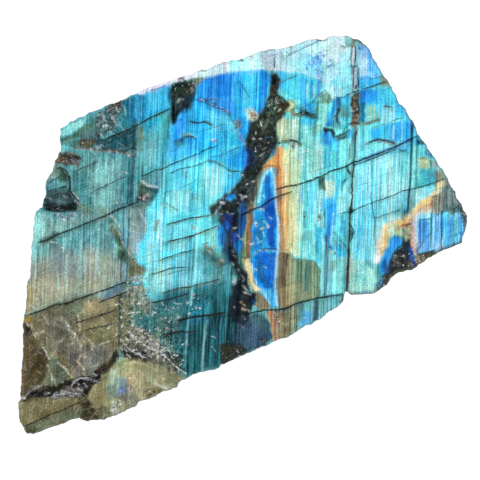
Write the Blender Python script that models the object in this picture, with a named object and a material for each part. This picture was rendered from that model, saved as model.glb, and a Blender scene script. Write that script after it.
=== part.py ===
"""A hand-sized slab of labradorite: one face ground flat and polished, the edges broken, the back sawn.

Run it with  blender --background --python part.py  or from Blender's text editor.

The slab lies on its sawn back. X runs to the right across the polished face, Y up it, and Z out of it.
Every length below is in millimetres, and the mesh is made in metres. The plan is drawn about DRAWING_MIDDLE,
which the finished slab has at its origin, on the surface that it lies on.
"""

import bpy
import numpy as np
from mathutils import Vector
from mathutils.geometry import delaunay_2d_cdt

MM = 0.001

# Driving dimensions
THICKNESS = 18.0  # from the sawn back to the polished face
DRAWING_MIDDLE = (-0.25, -0.45)  # middle of the outline's box
GRID = 1.65  # spacing of the points on the face
LONGEST_EDGE = 2.9  # longest stretch of outline or groove without a point
LEAST_GAP = 0.7  # a point of the grid is this far from any edge of the face, a hollow or a groove
RIM_GAP = 0.4  # how close to the edge of the face a hollow's or groove's own points may come

# The outline, clockwise, as the stone's own stretches of edge.
TOP_EDGE = [  # ground along with the face, nearly straight
    (-46.0, 26.0), (-45.0, 26.8), (-43.5, 28.0), (-42.2, 28.5), (-40.5, 29.2), (-38.5, 30.2), (-36.8, 30.9),
    (-33.5, 32.2), (-31.5, 33.0), (-30.0, 33.5), (-28.5, 34.4), (-25.2, 36.0), (-22.0, 37.0), (-18.2, 38.5),
    (-15.2, 39.5), (-13.5, 39.6), (-11.8, 40.5), (-10.8, 41.0), (-9.8, 40.9), (-6.2, 42.4), (-3.5, 43.2),
    (-1.2, 43.5), (2.5, 44.9), (6.0, 46.0), (9.2, 46.2), (10.8, 46.9), (14.0, 47.8), (15.8, 48.6),
    (19.2, 48.8), (20.2, 48.6), (21.0, 49.1), (22.8, 49.4), (24.5, 49.5), (26.0, 49.5),
]
RIGHT_EDGE = [  # broken along small cleavage steps
    (27.0, 49.0), (28.5, 48.8), (29.5, 48.2), (30.2, 47.5), (31.0, 46.5), (31.8, 45.9), (32.5, 43.8),
    (33.2, 42.8), (34.2, 40.5), (35.0, 39.4), (36.0, 38.4), (37.0, 36.0), (37.5, 35.2), (38.2, 34.5),
    (38.5, 33.5), (39.0, 32.4), (39.8, 32.0), (40.5, 31.0), (42.0, 28.2), (43.2, 26.1), (43.6, 25.0),
    (45.0, 22.8), (45.8, 22.1), (46.2, 21.0), (46.8, 20.0), (47.5, 19.2), (49.0, 17.0), (49.8, 16.0),
    (51.2, 13.2), (51.5, 12.2), (52.2, 11.4), (52.9, 10.5), (53.2, 8.6), (53.9, 8.4), (54.8, 6.5),
    (55.5, 5.2), (55.9, 4.0), (56.0, 3.0), (55.5, 0.2), (54.9, -1.2), (54.8, -2.5),
]
LOWER_RIGHT_EDGE = [  # broken back under the face, so that a strip of the side shows
    (53.5, -3.0), (52.0, -3.8), (50.0, -4.4), (48.5, -5.2), (45.5, -6.8), (43.5, -8.2), (42.0, -9.2),
    (40.2, -9.8), (37.8, -10.8), (36.9, -11.5), (36.6, -12.2), (35.8, -13.2), (33.2, -14.8), (30.0, -15.5),
    (28.5, -15.6), (26.5, -15.4),
]
NOTCH = [(25.9, -14.9), (25.4, -14.8), (25.0, -15.8), (24.9, -17.0), (24.5, -17.8)]  # foot of the long split
LOWER_EDGE = [
    (22.2, -19.1), (21.2, -19.6), (20.5, -20.2), (20.4, -20.8), (18.0, -22.1), (16.8, -22.9), (15.2, -23.4),
    (12.0, -25.5), (9.0, -26.8), (6.2, -28.1), (3.0, -29.4), (0.0, -30.6), (-3.0, -32.0), (-5.8, -33.0),
    (-6.1, -34.0), (-9.5, -34.8), (-12.8, -35.4), (-13.5, -36.0), (-16.2, -37.5), (-16.8, -38.6),
    (-19.8, -39.6), (-23.0, -41.4), (-25.2, -42.0), (-26.2, -42.5), (-27.2, -43.5), (-28.5, -44.1),
    (-30.0, -44.6), (-32.5, -46.0), (-34.0, -46.1), (-35.0, -46.8), (-38.0, -47.0), (-39.2, -47.2),
    (-40.2, -46.9), (-41.2, -46.4), (-43.0, -46.8), (-44.5, -47.5), (-47.0, -48.2), (-50.0, -49.4),
    (-53.0, -50.4),
]
LEFT_EDGE = [
    (-54.2, -50.4), (-55.0, -49.5), (-55.8, -47.8), (-56.4, -46.2), (-56.5, -42.2), (-56.0, -41.4),
    (-56.0, -38.5), (-55.8, -34.2), (-55.5, -26.8), (-55.4, -22.8), (-55.1, -21.4), (-55.2, -20.6),
    (-54.8, -19.8), (-54.5, -15.5), (-54.2, -12.2), (-53.5, -9.2), (-53.4, -5.2), (-53.1, -1.8),
    (-52.4, 4.0), (-52.0, 5.5), (-51.4, 6.2), (-50.8, 6.5), (-50.6, 7.2), (-49.8, 9.8), (-49.9, 12.5),
    (-49.8, 13.2), (-47.9, 15.5), (-47.9, 16.5), (-47.5, 18.2), (-46.4, 20.0), (-46.0, 20.8), (-46.1, 23.0),
]
# Each stretch with how far the polished face stops short of the stone's outermost line along it.
STRETCHES = [
    (TOP_EDGE, 0.25), (RIGHT_EDGE, 0.7), (LOWER_RIGHT_EDGE, 1.2), (NOTCH, 0.3), (LOWER_EDGE, 0.4),
    (LEFT_EDGE, 0.3),
]
RIM_EASE = 1.5  # over how much outline one stretch's rim turns into the next one's
TURN_EASE = 4.0  # over how much outline the direction that the wall is cut back in turns a corner

# Hollows in the face: corners, depth, width of the bank, height of the rough fracture inside.
# Where one runs out through the edge of the stone, its corners go past the outline.
HOLLOWS = {
    "upper_vein": (
        [(7.0, 39.5), (6.5, 37.0), (6.8, 35.2), (5.2, 32.2), (4.8, 30.8), (3.2, 29.0), (1.5, 28.0),
         (1.0, 25.8), (0.8, 20.8), (1.8, 18.8), (0.8, 15.8), (-0.2, 14.0), (-2.0, 12.0), (-3.8, 10.2),
         (-5.8, 8.8), (-6.8, 7.5), (-8.2, 6.2), (-8.5, 5.0), (-7.5, 4.2), (-6.2, 4.8), (-5.5, 3.8),
         (-4.0, -0.8), (-2.0, -1.8), (-2.5, 0.2), (-2.0, 2.8), (-1.0, 5.8), (-0.2, 7.5), (1.0, 9.0),
         (1.5, 10.8), (2.5, 12.5), (3.5, 14.2), (5.5, 17.5), (7.0, 19.5), (7.8, 21.5), (8.2, 23.2),
         (8.2, 28.2), (8.8, 30.0), (9.8, 31.2), (10.0, 32.2), (9.0, 34.0), (8.5, 35.8), (9.5, 37.2),
         (9.2, 38.8)],
        1.0, 0.9, 0.45),
    "lower_vein": (
        [(-4.0, -1.8), (-2.0, -3.0), (-1.5, -6.2), (-0.8, -8.8), (0.8, -10.5), (1.0, -13.5), (3.0, -15.0),
         (3.0, -17.0), (2.0, -19.0), (1.8, -21.2), (0.0, -23.0), (-1.0, -22.2), (-2.0, -19.8),
         (-1.8, -16.8), (-1.2, -13.8), (-1.5, -10.8), (-2.8, -8.0), (-3.8, -4.8)],
        1.2, 0.8, 0.5),
    "bowl": (
        [(-50.2, 8.2), (-48.5, 10.0), (-46.0, 10.8), (-43.8, 11.0), (-42.2, 9.2), (-41.2, 8.0),
         (-41.5, 6.2), (-44.0, 5.5), (-47.2, 5.8), (-49.5, 6.0), (-53.0, 6.4), (-53.0, 8.8)],
        2.4, 1.8, 0.2),
    "left_step": (
        [(-46.8, 16.8), (-45.0, 15.5), (-43.8, 14.0), (-43.5, 11.5), (-46.0, 10.8), (-48.5, 10.0),
         (-51.5, 8.8), (-52.0, 13.0), (-50.0, 17.0)],
        0.9, 0.8, 0.1),
    "shelf": (
        [(-42.0, 22.8), (-39.0, 22.2), (-36.5, 23.2), (-35.2, 23.2), (-33.5, 24.0), (-31.0, 25.0),
         (-28.2, 26.2), (-27.0, 26.5), (-26.8, 23.2), (-27.0, 20.8), (-28.5, 20.0), (-31.5, 20.2),
         (-34.8, 20.8), (-38.0, 21.2), (-41.0, 21.8)],
        1.2, 1.1, 0.15),
    "corner_pit": (
        [(-36.8, 30.2), (-35.0, 31.2), (-33.0, 32.2), (-31.0, 33.0), (-30.2, 31.8), (-31.5, 30.8),
         (-32.8, 29.5), (-32.8, 28.0), (-32.0, 26.8), (-33.5, 25.8), (-34.2, 24.0), (-35.8, 23.5),
         (-36.8, 24.5), (-36.2, 27.0), (-36.0, 29.0)],
        0.9, 0.8, 0.35),
    "edge_break": (
        [(-46.0, 20.8), (-43.5, 20.2), (-41.0, 19.5), (-41.0, 17.5), (-43.5, 17.5), (-45.5, 17.2),
         (-47.2, 17.8), (-49.0, 18.5), (-48.0, 20.5)],
        1.0, 0.9, 0.35),
    "top_pit": (
        [(-18.2, 37.2), (-17.0, 37.8), (-15.0, 38.2), (-13.2, 38.2), (-12.2, 36.2), (-12.2, 33.8),
         (-13.2, 32.2), (-14.0, 30.5), (-15.8, 30.5), (-16.8, 29.0), (-17.5, 27.2), (-18.2, 29.0),
         (-18.2, 32.0), (-18.8, 34.2)],
        1.7, 1.1, 0.4),
    "middle_pit": (
        [(-26.0, 13.2), (-23.5, 11.8), (-21.2, 11.0), (-21.8, 9.0), (-23.0, 8.0), (-24.8, 8.0),
         (-26.8, 7.8), (-26.2, 10.2)],
        1.1, 0.9, 0.2),
    "brown_hollow": (
        [(-54.8, -22.2), (-53.2, -24.2), (-52.5, -26.5), (-50.5, -28.8), (-49.2, -31.0), (-48.5, -33.2),
         (-49.0, -35.2), (-50.2, -37.5), (-52.2, -39.5), (-54.5, -41.0), (-57.5, -40.5), (-57.5, -23.0)],
        1.3, 1.6, 0.1),
    "gash": (
        [(-56.0, -41.5), (-53.0, -39.8), (-49.8, -38.8), (-46.0, -37.8), (-42.5, -36.5), (-39.0, -36.0),
         (-36.0, -34.5), (-34.0, -32.2), (-32.5, -31.0), (-32.0, -32.8), (-33.5, -34.5), (-34.0, -36.0),
         (-35.8, -36.8), (-37.5, -37.8), (-38.0, -38.8), (-39.5, -40.8), (-43.0, -40.5), (-46.0, -41.0),
         (-49.0, -40.8), (-51.5, -41.5), (-54.0, -42.0)],
        1.1, 0.9, 0.4),
    "lower_block": (
        [(-33.2, -34.8), (-31.8, -32.2), (-29.5, -31.0), (-27.8, -30.8), (-24.5, -31.2), (-21.5, -31.5),
         (-19.0, -32.5), (-16.5, -34.0), (-14.2, -35.8), (-14.0, -40.0), (-33.0, -49.0), (-33.5, -46.2),
         (-34.0, -43.0), (-34.0, -39.2)],
        0.9, 0.7, 0.1),
    "lower_chip": (
        [(-41.0, -46.0), (-40.0, -43.8), (-39.0, -42.5), (-37.8, -43.0), (-36.0, -44.2), (-34.5, -45.5),
         (-34.2, -47.0), (-36.0, -49.0), (-41.0, -49.0)],
        1.5, 1.3, 0.15),
    "right_pit": (
        [(40.2, -1.2), (39.5, -3.0), (38.0, -4.2), (36.8, -6.0), (36.0, -7.8), (34.8, -10.2),
         (33.0, -13.8), (34.0, -17.0), (40.0, -14.0), (44.0, -10.0), (43.0, -7.8), (41.8, -5.8),
         (41.2, -3.2), (41.5, -1.2)],
        1.8, 1.5, 0.35),
}
ROUGH_SIZE = 2.6  # across the lumps of the rough fracture in a hollow

# Cleavage cracks that open as grooves in the face: points along each, depth, half its width at the face.
GROOVES = {
    "long_split": (
        [(27.8, 46.5), (27.5, 43.2), (28.0, 39.5), (28.0, 36.2), (27.8, 33.2), (27.8, 30.2), (27.5, 27.0),
         (28.0, 23.2), (27.5, 18.2), (27.2, 13.8), (27.0, 9.5), (26.8, 5.2), (26.8, 0.8), (26.5, -4.2),
         (26.0, -9.2), (25.8, -13.6)],
        0.8, 0.9),
    "long_trace": (
        [(-1.0, 4.8), (3.5, 6.8), (7.8, 8.8), (11.5, 10.8), (16.5, 13.2), (21.5, 15.2), (26.5, 17.2),
         (31.5, 19.2), (37.8, 21.8), (42.4, 23.8)],
        0.4, 0.7),
    "left_trace": (
        [(-51.4, -2.5), (-49.2, -1.8), (-47.2, -0.5), (-43.5, 0.8), (-39.8, 2.2), (-36.0, 3.8),
         (-33.0, 5.2), (-29.8, 6.5)],
        0.4, 0.7),
    "low_left_trace": (
        [(-53.8, -20.6), (-51.0, -19.5), (-48.0, -18.5), (-44.8, -17.5), (-39.8, -16.0), (-36.0, -14.5),
         (-32.2, -13.2), (-29.2, -12.0)],
        0.4, 0.7),
    "lower_trace": (
        [(4.4, -19.0), (6.5, -19.2), (10.2, -18.8), (14.0, -17.5), (17.8, -16.5), (21.5, -16.2),
         (24.2, -15.8)],
        0.4, 0.7),
    "right_lamella": (
        [(42.0, 27.2), (42.0, 22.2), (41.8, 18.2), (41.2, 10.8), (40.8, 4.5)],
        0.3, 0.6),
}

# The polished face rolls over towards the top edge: a flat bevel on the left, and a wide soft curve on the right.
BEVEL_LINE = [
    (-48.0, 25.6), (-40.0, 29.0), (-33.0, 31.9), (-28.2, 34.0), (-23.5, 35.6), (-18.5, 37.5), (-13.5, 38.4),
    (-8.5, 39.6), (-3.5, 40.6), (1.5, 40.9), (6.0, 41.0), (9.0, 40.6), (20.0, 40.6), (34.0, 40.6), (40.0, 36.0),
]
BEVEL_SLOPE = 0.2
ROLL_LINE = [(2.0, 50.0), (8.0, 41.0), (13.0, 37.5), (19.0, 34.5), (26.0, 34.0), (33.0, 36.5), (40.0, 32.0)]
ROLL_CURVATURE = 0.006  # drop per square millimetre past the line

# The broken side wall: shallow scoops struck off it, and blocks that stand proud or lie back.
SCOOPS = 80
SCOOP_SEED = 7
SCOOP_BACK = 3.4  # how far back the middle of the deepest scoop would lie
SCOOP_START = 1.3  # what is taken off that, so that much of the wall stays out at the outline
SCOOP_TILT = 0.34  # steepest lean of a scoop
SCOOP_ALONG, SCOOP_UP = 0.045, 0.03  # how fast a scoop runs out along the wall and up it, per square millimetre
BLOCK_SIZE = 7.0
BLOCK_STEP = 0.5
WALL_START = 2.5  # how far below the rim the wall reaches its full roughness
BACK_INSET = 1.2  # how far the sawn back stops short of the wall above it
WALL_ROWS = [0.13, 0.27, 0.41, 0.55, 0.69, 0.83, 0.94, 1.0]  # shares of the way from the rim to the back
CORNER_EASE = 2.6  # how much the outline's corners are rounded by the time the wall reaches the back

STONE_COLOUR = (0.10, 0.33, 0.38, 1.0)
STONE_ROUGHNESS = 0.35


def clear_scene():
    for item in list(bpy.data.objects):
        bpy.data.objects.remove(item)


def smoothstep(share):
    share = np.clip(share, 0.0, 1.0)
    return share * share * (3.0 - 2.0 * share)


def lumps(x, y, size, seed):
    """Smooth noise from -1 to 1 with lumps about this size across."""
    table = np.random.default_rng(seed).uniform(-1.0, 1.0, (128, 128))
    column, row = np.floor(x / size).astype(int), np.floor(y / size).astype(int)
    across, up = smoothstep(x / size - column), smoothstep(y / size - row)
    low = table[row % 128, column % 128] * (1 - across) + table[row % 128, (column + 1) % 128] * across
    high = (table[(row + 1) % 128, column % 128] * (1 - across)
            + table[(row + 1) % 128, (column + 1) % 128] * across)
    return low * (1 - up) + high * up


def to_segment(x, y, start, end):
    """Squared distance from each point to a segment, and its side of the segment's line: positive on the left."""
    (x0, y0), (x1, y1) = start, end
    along = np.clip(((x - x0) * (x1 - x0) + (y - y0) * (y1 - y0)) / ((x1 - x0) ** 2 + (y1 - y0) ** 2), 0, 1)
    squared = (x - x0 - along * (x1 - x0)) ** 2 + (y - y0 - along * (y1 - y0)) ** 2
    side = (x1 - x0) * (y - y0) - (y1 - y0) * (x - x0)
    return squared, side


def from_line(x, y, line):
    """Distance from each point to an open line: positive on its left, negative on its right."""
    nearest, side = np.full(len(x), np.inf), np.ones(len(x))
    for start, end in zip(line, line[1:]):
        squared, here = to_segment(x, y, start, end)
        closer = squared < nearest
        nearest = np.where(closer, squared, nearest)
        side = np.where(closer, np.where(here < 0, -1.0, 1.0), side)
    return np.sqrt(nearest) * side


def inside_by(x, y, corners):
    """How far each point lies inside a closed outline, negative outside it."""
    nearest, crossings = np.full(len(x), np.inf), np.zeros(len(x), int)
    for (x0, y0), (x1, y1) in zip(corners, corners[1:] + corners[:1]):
        nearest = np.minimum(nearest, to_segment(x, y, (x0, y0), (x1, y1))[0])
        spans = (y0 > y) != (y1 > y)
        crossings += spans & (x < x0 + (y - y0) * (x1 - x0) / (y1 - y0 if y1 != y0 else 1.0))
    return np.where(crossings % 2 == 1, 1.0, -1.0) * np.sqrt(nearest)


def face_height(x, y):
    """Height of the worked face above the back, with its hollows, grooves and rolled edge."""
    drop = BEVEL_SLOPE * np.clip(from_line(x, y, BEVEL_LINE), 0, None)
    drop += ROLL_CURVATURE * np.clip(from_line(x, y, ROLL_LINE), 0, None) ** 2
    broken = lumps(x, y, ROUGH_SIZE, 21) + 0.5 * lumps(x, y, ROUGH_SIZE / 2, 22)
    for corners, depth, bank, rough in HOLLOWS.values():
        share = smoothstep(inside_by(x, y, corners) / bank)
        drop += share * (depth + rough * broken)
    for line, depth, half_width in GROOVES.values():
        share = smoothstep(1 - np.abs(from_line(x, y, line)) / half_width)
        drop += share * depth
    return THICKNESS - drop


def split_long(line, longest):
    """An open line with points added wherever two neighbours are further apart than this."""
    found = []
    for start, end in zip(line, line[1:]):
        parts = max(1, int(np.ceil(np.hypot(end[0] - start[0], end[1] - start[1]) / longest)))
        found += [(start[0] + (end[0] - start[0]) * k / parts, start[1] + (end[1] - start[1]) * k / parts)
                  for k in range(parts)]
    return found + [line[-1]]


class Rim:
    """The stone's outermost line, as a closed ring of points with what goes with each of them."""

    def __init__(self):
        corners = [point for stretch, _ in STRETCHES for point in stretch]
        self.points = np.array(split_long(corners + corners[:1], LONGEST_EDGE)[:-1])
        steps = np.linalg.norm(np.roll(self.points, -1, axis=0) - self.points, axis=1)
        self.length = steps.sum()
        self.along = np.concatenate([[0], np.cumsum(steps)[:-1]])
        self.share = (steps + np.roll(steps, 1)) / 2
        self.inset = self.eased(self.stretch_insets(), RIM_EASE)
        self.outward = self.normals()

    def stretch_insets(self):
        """The inset of the stretch that each point of the ring lies on."""
        wide = np.zeros(len(self.points))
        nearest = np.full(len(self.points), np.inf)
        for stretch, inset in STRETCHES:
            gap = np.abs(from_line(self.points[:, 0], self.points[:, 1], stretch))
            wide = np.where(gap < nearest, inset, wide)
            nearest = np.minimum(gap, nearest)
        return wide

    def eased(self, values, reach):
        """Values along the ring, averaged over about this much of it."""
        gap = np.abs(self.along[:, None] - self.along[None, :])
        gap = np.minimum(gap, self.length - gap)
        weight = np.exp(-0.5 * (gap / reach) ** 2) * self.share[None, :]
        return weight @ values / (weight.sum(axis=1) if values.ndim == 1 else weight.sum(axis=1)[:, None])

    def normals(self):
        """The outward direction at each point, without the small zigzags."""
        smooth = self.eased(self.points, TURN_EASE)
        run = np.roll(smooth, -1, axis=0) - np.roll(smooth, 1, axis=0)
        run /= np.linalg.norm(run, axis=1)[:, None]
        return np.stack([-run[:, 1], run[:, 0]], axis=1)


def wall_relief(rim, height):
    """How far back from the outermost line the broken wall lies, for each point of the ring at its height."""
    random = np.random.default_rng(SCOOP_SEED)
    spots = np.linspace(0, rim.length, SCOOPS, endpoint=False) + random.uniform(-2, 2, SCOOPS)
    levels = random.uniform(0, THICKNESS, SCOOPS)
    backs = random.uniform(0.2, SCOOP_BACK, SCOOPS)
    leans = random.uniform(-SCOOP_TILT, SCOOP_TILT, (SCOOPS, 2))
    cut = np.zeros(len(rim.along))
    for spot, level, back, (lean, tip) in zip(spots, levels, backs, leans):
        gap = (rim.along - spot + rim.length / 2) % rim.length - rim.length / 2
        up = height - level
        cut = np.maximum(cut, back + lean * gap + tip * up - SCOOP_ALONG * gap ** 2 - SCOOP_UP * up ** 2)
    blocks = np.round(1.5 * lumps(rim.along, height * 1.6, BLOCK_SIZE, 31)) / 1.5
    return rim.eased(np.maximum(cut - SCOOP_START, 0) + BLOCK_STEP * (0.67 - blocks), 0.6)


def wall_rings(rim):
    """The rings of points down the wall, from the edge of the polished face to the edge of the sawn back."""
    face_edge = rim.points - rim.outward * rim.inset[:, None]
    top = face_height(face_edge[:, 0], face_edge[:, 1])
    belt = top - 0.9 * rim.inset - 0.3
    rings = [np.column_stack([face_edge, top]), np.column_stack([rim.points, belt])]
    for share in WALL_ROWS:
        height = belt * (1 - share)
        back = wall_relief(rim, height) * smoothstep((belt - height) / WALL_START)
        back += BACK_INSET * smoothstep((share - 0.7) / 0.3)
        eased = rim.eased(rim.points, 0.6 + CORNER_EASE * share)
        rings.append(np.column_stack([eased - rim.outward * back[:, None], height]))
    return rings


def spread_points(ring):
    """A staggered grid of points inside a ring and clear of the hollows' and the grooves' own points."""
    low, high = ring.min(axis=0), ring.max(axis=0)
    rows = np.arange(low[1], high[1], GRID * 0.87)
    grid = [(x + GRID * 0.5 * (k % 2), y) for k, y in enumerate(rows) for x in np.arange(low[0], high[0], GRID)]
    x, y = np.array(grid).T
    x = x + 0.18 * GRID * lumps(x, y, GRID, 41)
    y = y + 0.18 * GRID * lumps(x, y, GRID, 42)
    keep = inside_by(x, y, [tuple(point) for point in ring]) > LEAST_GAP
    for line in drawn_lines():
        keep &= np.abs(from_line(x, y, line)) > LEAST_GAP
    return [(px, py) for px, py in zip(x[keep], y[keep])]


def beside(line, gap):
    """The line moved sideways by a gap, to its left when that is positive."""
    x, y = np.array(line).T
    run = np.stack([np.gradient(x), np.gradient(y)], axis=1)
    run /= np.linalg.norm(run, axis=1)[:, None]
    return [(px - gap * across[1], py + gap * across[0]) for px, py, across in zip(x, y, run)]


def drawn_lines():
    """The lines that the face's triangles keep to: round each hollow, and both lips and the bottom of each groove."""
    lines = [corners + corners[:1] for corners, _, _, _ in HOLLOWS.values()]
    for line, _, half_width in GROOVES.values():
        lines += [beside(line, -half_width), line, beside(line, half_width)]
    return [split_long(line, LONGEST_EDGE) for line in lines]


def line_points(ring):
    """The points of the drawn lines that lie inside the ring, and the edges that join them."""
    points, edges = [], []
    for line in drawn_lines():
        x, y = np.array(line).T
        inside = inside_by(x, y, [tuple(point) for point in ring]) > RIM_GAP
        for k, point in enumerate(line):
            if inside[k] and k and inside[k - 1]:
                edges.append((len(points) - 1, len(points)))
            if inside[k]:
                points.append(point)
    return points, edges


def triangulate(ring, inner=(), inner_edges=()):
    """Flat triangles that fill a ring through the inner points, anticlockwise, with all the points they use."""
    count = len(ring)
    points = [Vector(point) for point in ring] + [Vector(point) for point in inner]
    edges = [(k, (k + 1) % count) for k in range(count)]
    edges += [(count + start, count + end) for start, end in inner_edges]
    placed, _, faces, *_ = delaunay_2d_cdt(points, edges, [], 1, 1e-6)
    return np.array([tuple(point) for point in placed]), [list(face) for face in faces]


def stone_mesh():
    """The whole stone as one closed mesh: face, side wall and back."""
    rim = Rim()
    rings = wall_rings(rim)
    count = len(rim.points)
    rings_of_points = np.concatenate(rings)
    drawn, drawn_edges = line_points(rings[0][:, :2])
    inner = drawn + spread_points(rings[0][:, :2])
    face, face_triangles = triangulate(rings[0][:, :2], inner, drawn_edges)
    face = np.column_stack([face, face_height(face[:, 0], face[:, 1])])
    face[:count] = rings[0]
    back, back_triangles = triangulate(rings[-1][:, :2])

    last = (len(rings) - 1) * count
    points = np.concatenate([rings_of_points, face[count:]])
    faces = [[v if v < count else v - count + last + count for v in f] for f in face_triangles]
    faces += [[last + v for v in reversed(f)] for f in back_triangles]
    for ring in range(len(rings) - 1):
        for k in range(count):
            here, after = ring * count + k, ring * count + (k + 1) % count
            faces.append([here, after, after + count, here + count])
    assert len(back) == count, "the back's ring crosses itself"

    points[:, 0] -= DRAWING_MIDDLE[0]
    points[:, 1] -= DRAWING_MIDDLE[1]
    mesh = bpy.data.meshes.new("labradorite_slab")
    mesh.from_pydata((points * MM).tolist(), [], faces)
    mesh.validate()
    return mesh


def stone_material():
    material = bpy.data.materials.new("labradorite")
    material.use_nodes = True
    shader = material.node_tree.nodes["Principled BSDF"]
    shader.inputs["Base Color"].default_value = STONE_COLOUR
    shader.inputs["Roughness"].default_value = STONE_ROUGHNESS
    shader.inputs["Metallic"].default_value = 0.0
    return material


def main():
    clear_scene()
    mesh = stone_mesh()
    mesh.materials.append(stone_material())
    slab = bpy.data.objects.new("labradorite_slab", mesh)
    bpy.context.scene.collection.objects.link(slab)


main()
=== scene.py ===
import bpy
import numpy as np
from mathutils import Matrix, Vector
from mathutils.geometry import delaunay_2d_cdt


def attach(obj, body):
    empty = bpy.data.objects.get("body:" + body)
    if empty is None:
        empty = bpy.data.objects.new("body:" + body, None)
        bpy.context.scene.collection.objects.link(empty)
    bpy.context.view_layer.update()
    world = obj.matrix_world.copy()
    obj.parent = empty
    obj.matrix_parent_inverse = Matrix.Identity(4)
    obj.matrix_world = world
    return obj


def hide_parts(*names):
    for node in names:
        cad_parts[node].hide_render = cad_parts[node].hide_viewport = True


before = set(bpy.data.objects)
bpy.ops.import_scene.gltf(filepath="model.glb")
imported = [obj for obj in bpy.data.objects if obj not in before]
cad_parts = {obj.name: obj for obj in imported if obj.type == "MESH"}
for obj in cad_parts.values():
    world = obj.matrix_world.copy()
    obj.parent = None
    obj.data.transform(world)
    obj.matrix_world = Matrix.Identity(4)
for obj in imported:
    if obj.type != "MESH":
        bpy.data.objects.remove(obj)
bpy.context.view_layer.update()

# --------------------------------------------------------------------------------------------------
# Sizes in millimetres. What is drawn on the stone is in pixels of the 480 x 480 photograph, which looks
# straight down on the face, and lies on the stone at MM_PER_PX. A drawn shape is written as x,y pairs.

MM = 0.001
MM_PER_PX = 0.25
MIDDLE_PX = (243.0, 234.8)  # the stone's own origin, in the photograph
FRAME_MIDDLE = "240,240"
THICKNESS = 18.0

# How fine the mesh is: between the points of the face, the rim, the back and the fine lines.
FACE_SPACING = 0.315
RIM_SPACING = 0.42
BACK_SPACING = 2.2
LINE_STEP = 0.45
LINE_MARGIN = 0.12  # the fine lines stop this far inside the face's edge
LIP_GAP = 0.13  # other points of the face keep this far from the lines' lips
EDGE_GAP = 0.45  # shares of a spacing: to the edge, between two rows, and how far a point strays
ROW_SHARE, POINT_STRAY = 0.87, 0.2
WALL_ROWS = 15
NOISE_CELLS = 128  # random values along each side of the noise's table
LAMELLA_LEAN = 0.031  # radians from the stone's Y: the tops lean right

# The outline, clockwise, as the stone's own stretches of edge.
TOP_EDGE = (
    "60,129 64,126 70,121 75,119 82,116 90,112 97,109.5 103,107 110,104 118,101 124,99 130,95.5 137,92.5"
    " 143,89 150,87 156,85 163,82 171,79 179,77 183,75 190,74.5 197,71 201,69 205,69.5 212,66 219,63.5"
    " 224,61.5 230,60 239,59 246,56 254,53.5 262,50.5 268,49 275,48.5 281,48 287,45.5 294,44 300,42 303,40.5"
    " 307,38.5 314,38 321,38 325,38.5 328,36.5 335,35.5 342,35 348,35")
RIGHT_EDGE = (
    "352,37 358,38 362,40 365,43 368,47 371,49.5 372.5,54 374,58 377,62 379,67 381,71 384,75.5 388,79.5"
    " 390,84 392,89 394,92 397,95 398,99 400,103.5 403,105 406,109 409,115 412,120 415,124.5 417,128.5"
    " 418.5,133 421,138 424,142 427,144.5 429,149 431,153 434,156 437,160.5 440,165 443,169 446,174 449,180"
    " 450,184 453,187.5 455.5,191 456.5,197 457,199 459.5,199.3 461,203 463,207 466,212 467.5,217 468,221"
    " 467.5,226 466,232 463.5,238 463,243")
LOWER_RIGHT_EDGE = (
    "458,245 452,248 444,250.5 438,254 432,257.5 426,260 423,263 418,266 412,270 405,272 400,273.5 395,276"
    " 391.5,279 390.5,282 387,286 382,289 377,292 371,294 364,295 358,295.5 350,294.5")
NOTCH = "347.5,292.5 345.5,292 344,296 343.5,301 342,304"
LOWER_EDGE = (
    "338,307 333,309.5 329,311.5 326,314 325.5,316 321,319 316,321.5 311,324.5 305,326.5 300,329.5 295,332.5"
    " 292,335 286,338 280,340 274,342.5 269,345.5 262,348 256,350.5 250,353 244,355.5 238,358 232,361"
    " 226,363.5 221,365 219.5,369 213,370.5 206,372 200,373.5 193,374.5 190,377 184,379.5 179,383 177,387.5"
    " 171,389.5 165,391.5 159,395 152,398.5 149,400.5 143,401 139,403 135,407 130,409.5 124,411.5 119,414.5"
    " 114,417 108,417.5 104,420 98,421 92,421 87,422 83,420.5 79,418.5 72,420 66,423 61,424 56,426 50,428"
    " 44,430.5 38,432.5 32,434.5")
LEFT_EDGE = (
    "27,434.5 24,431 22.5,427 21,424 19,421.5 18.5,418 18,413 18,406 18,402 20,398.5 19.5,394 20.5,387"
    " 20.5,378 21,370 21.5,360 22,350 22,340 22,330 22.5,324 23.5,318.5 23,315.5 25,312 25.5,303 26,295"
    " 26,288 27,282 29,277 30,270 30,262 30.5,254 31,247 31.5,240 32.5,232 33.5,224 34.5,217 36,211 38.5,208"
    " 41,207 41.5,204 43,199 45,194 44.5,188 44.5,183 45,180 49,176 52.5,171 52.5,167 54,163.5 54,160 57,157"
    " 58.5,153 60,150 60.5,145 59.8,141 60,135")
STRETCHES = [  # each with how far the polished face stays inside it
    (TOP_EDGE, 0.25), (RIGHT_EDGE, 0.7), (LOWER_RIGHT_EDGE, 1.2), (NOTCH, 0.3), (LOWER_EDGE, 0.4),
    (LEFT_EDGE, 0.3),
]
RIM_EASE = 1.5  # how much of the rim the insets are averaged over, and its outward directions
TURN_EASE = 4.0
RIM_CHIPS = 0.16  # how far the fine broken edge strays from the outline
RIM_LINE_BELOW = 0.9  # how far the outermost line lies below the face, for each millimetre of its inset
RIM_LINE_DROP = 0.3

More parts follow.
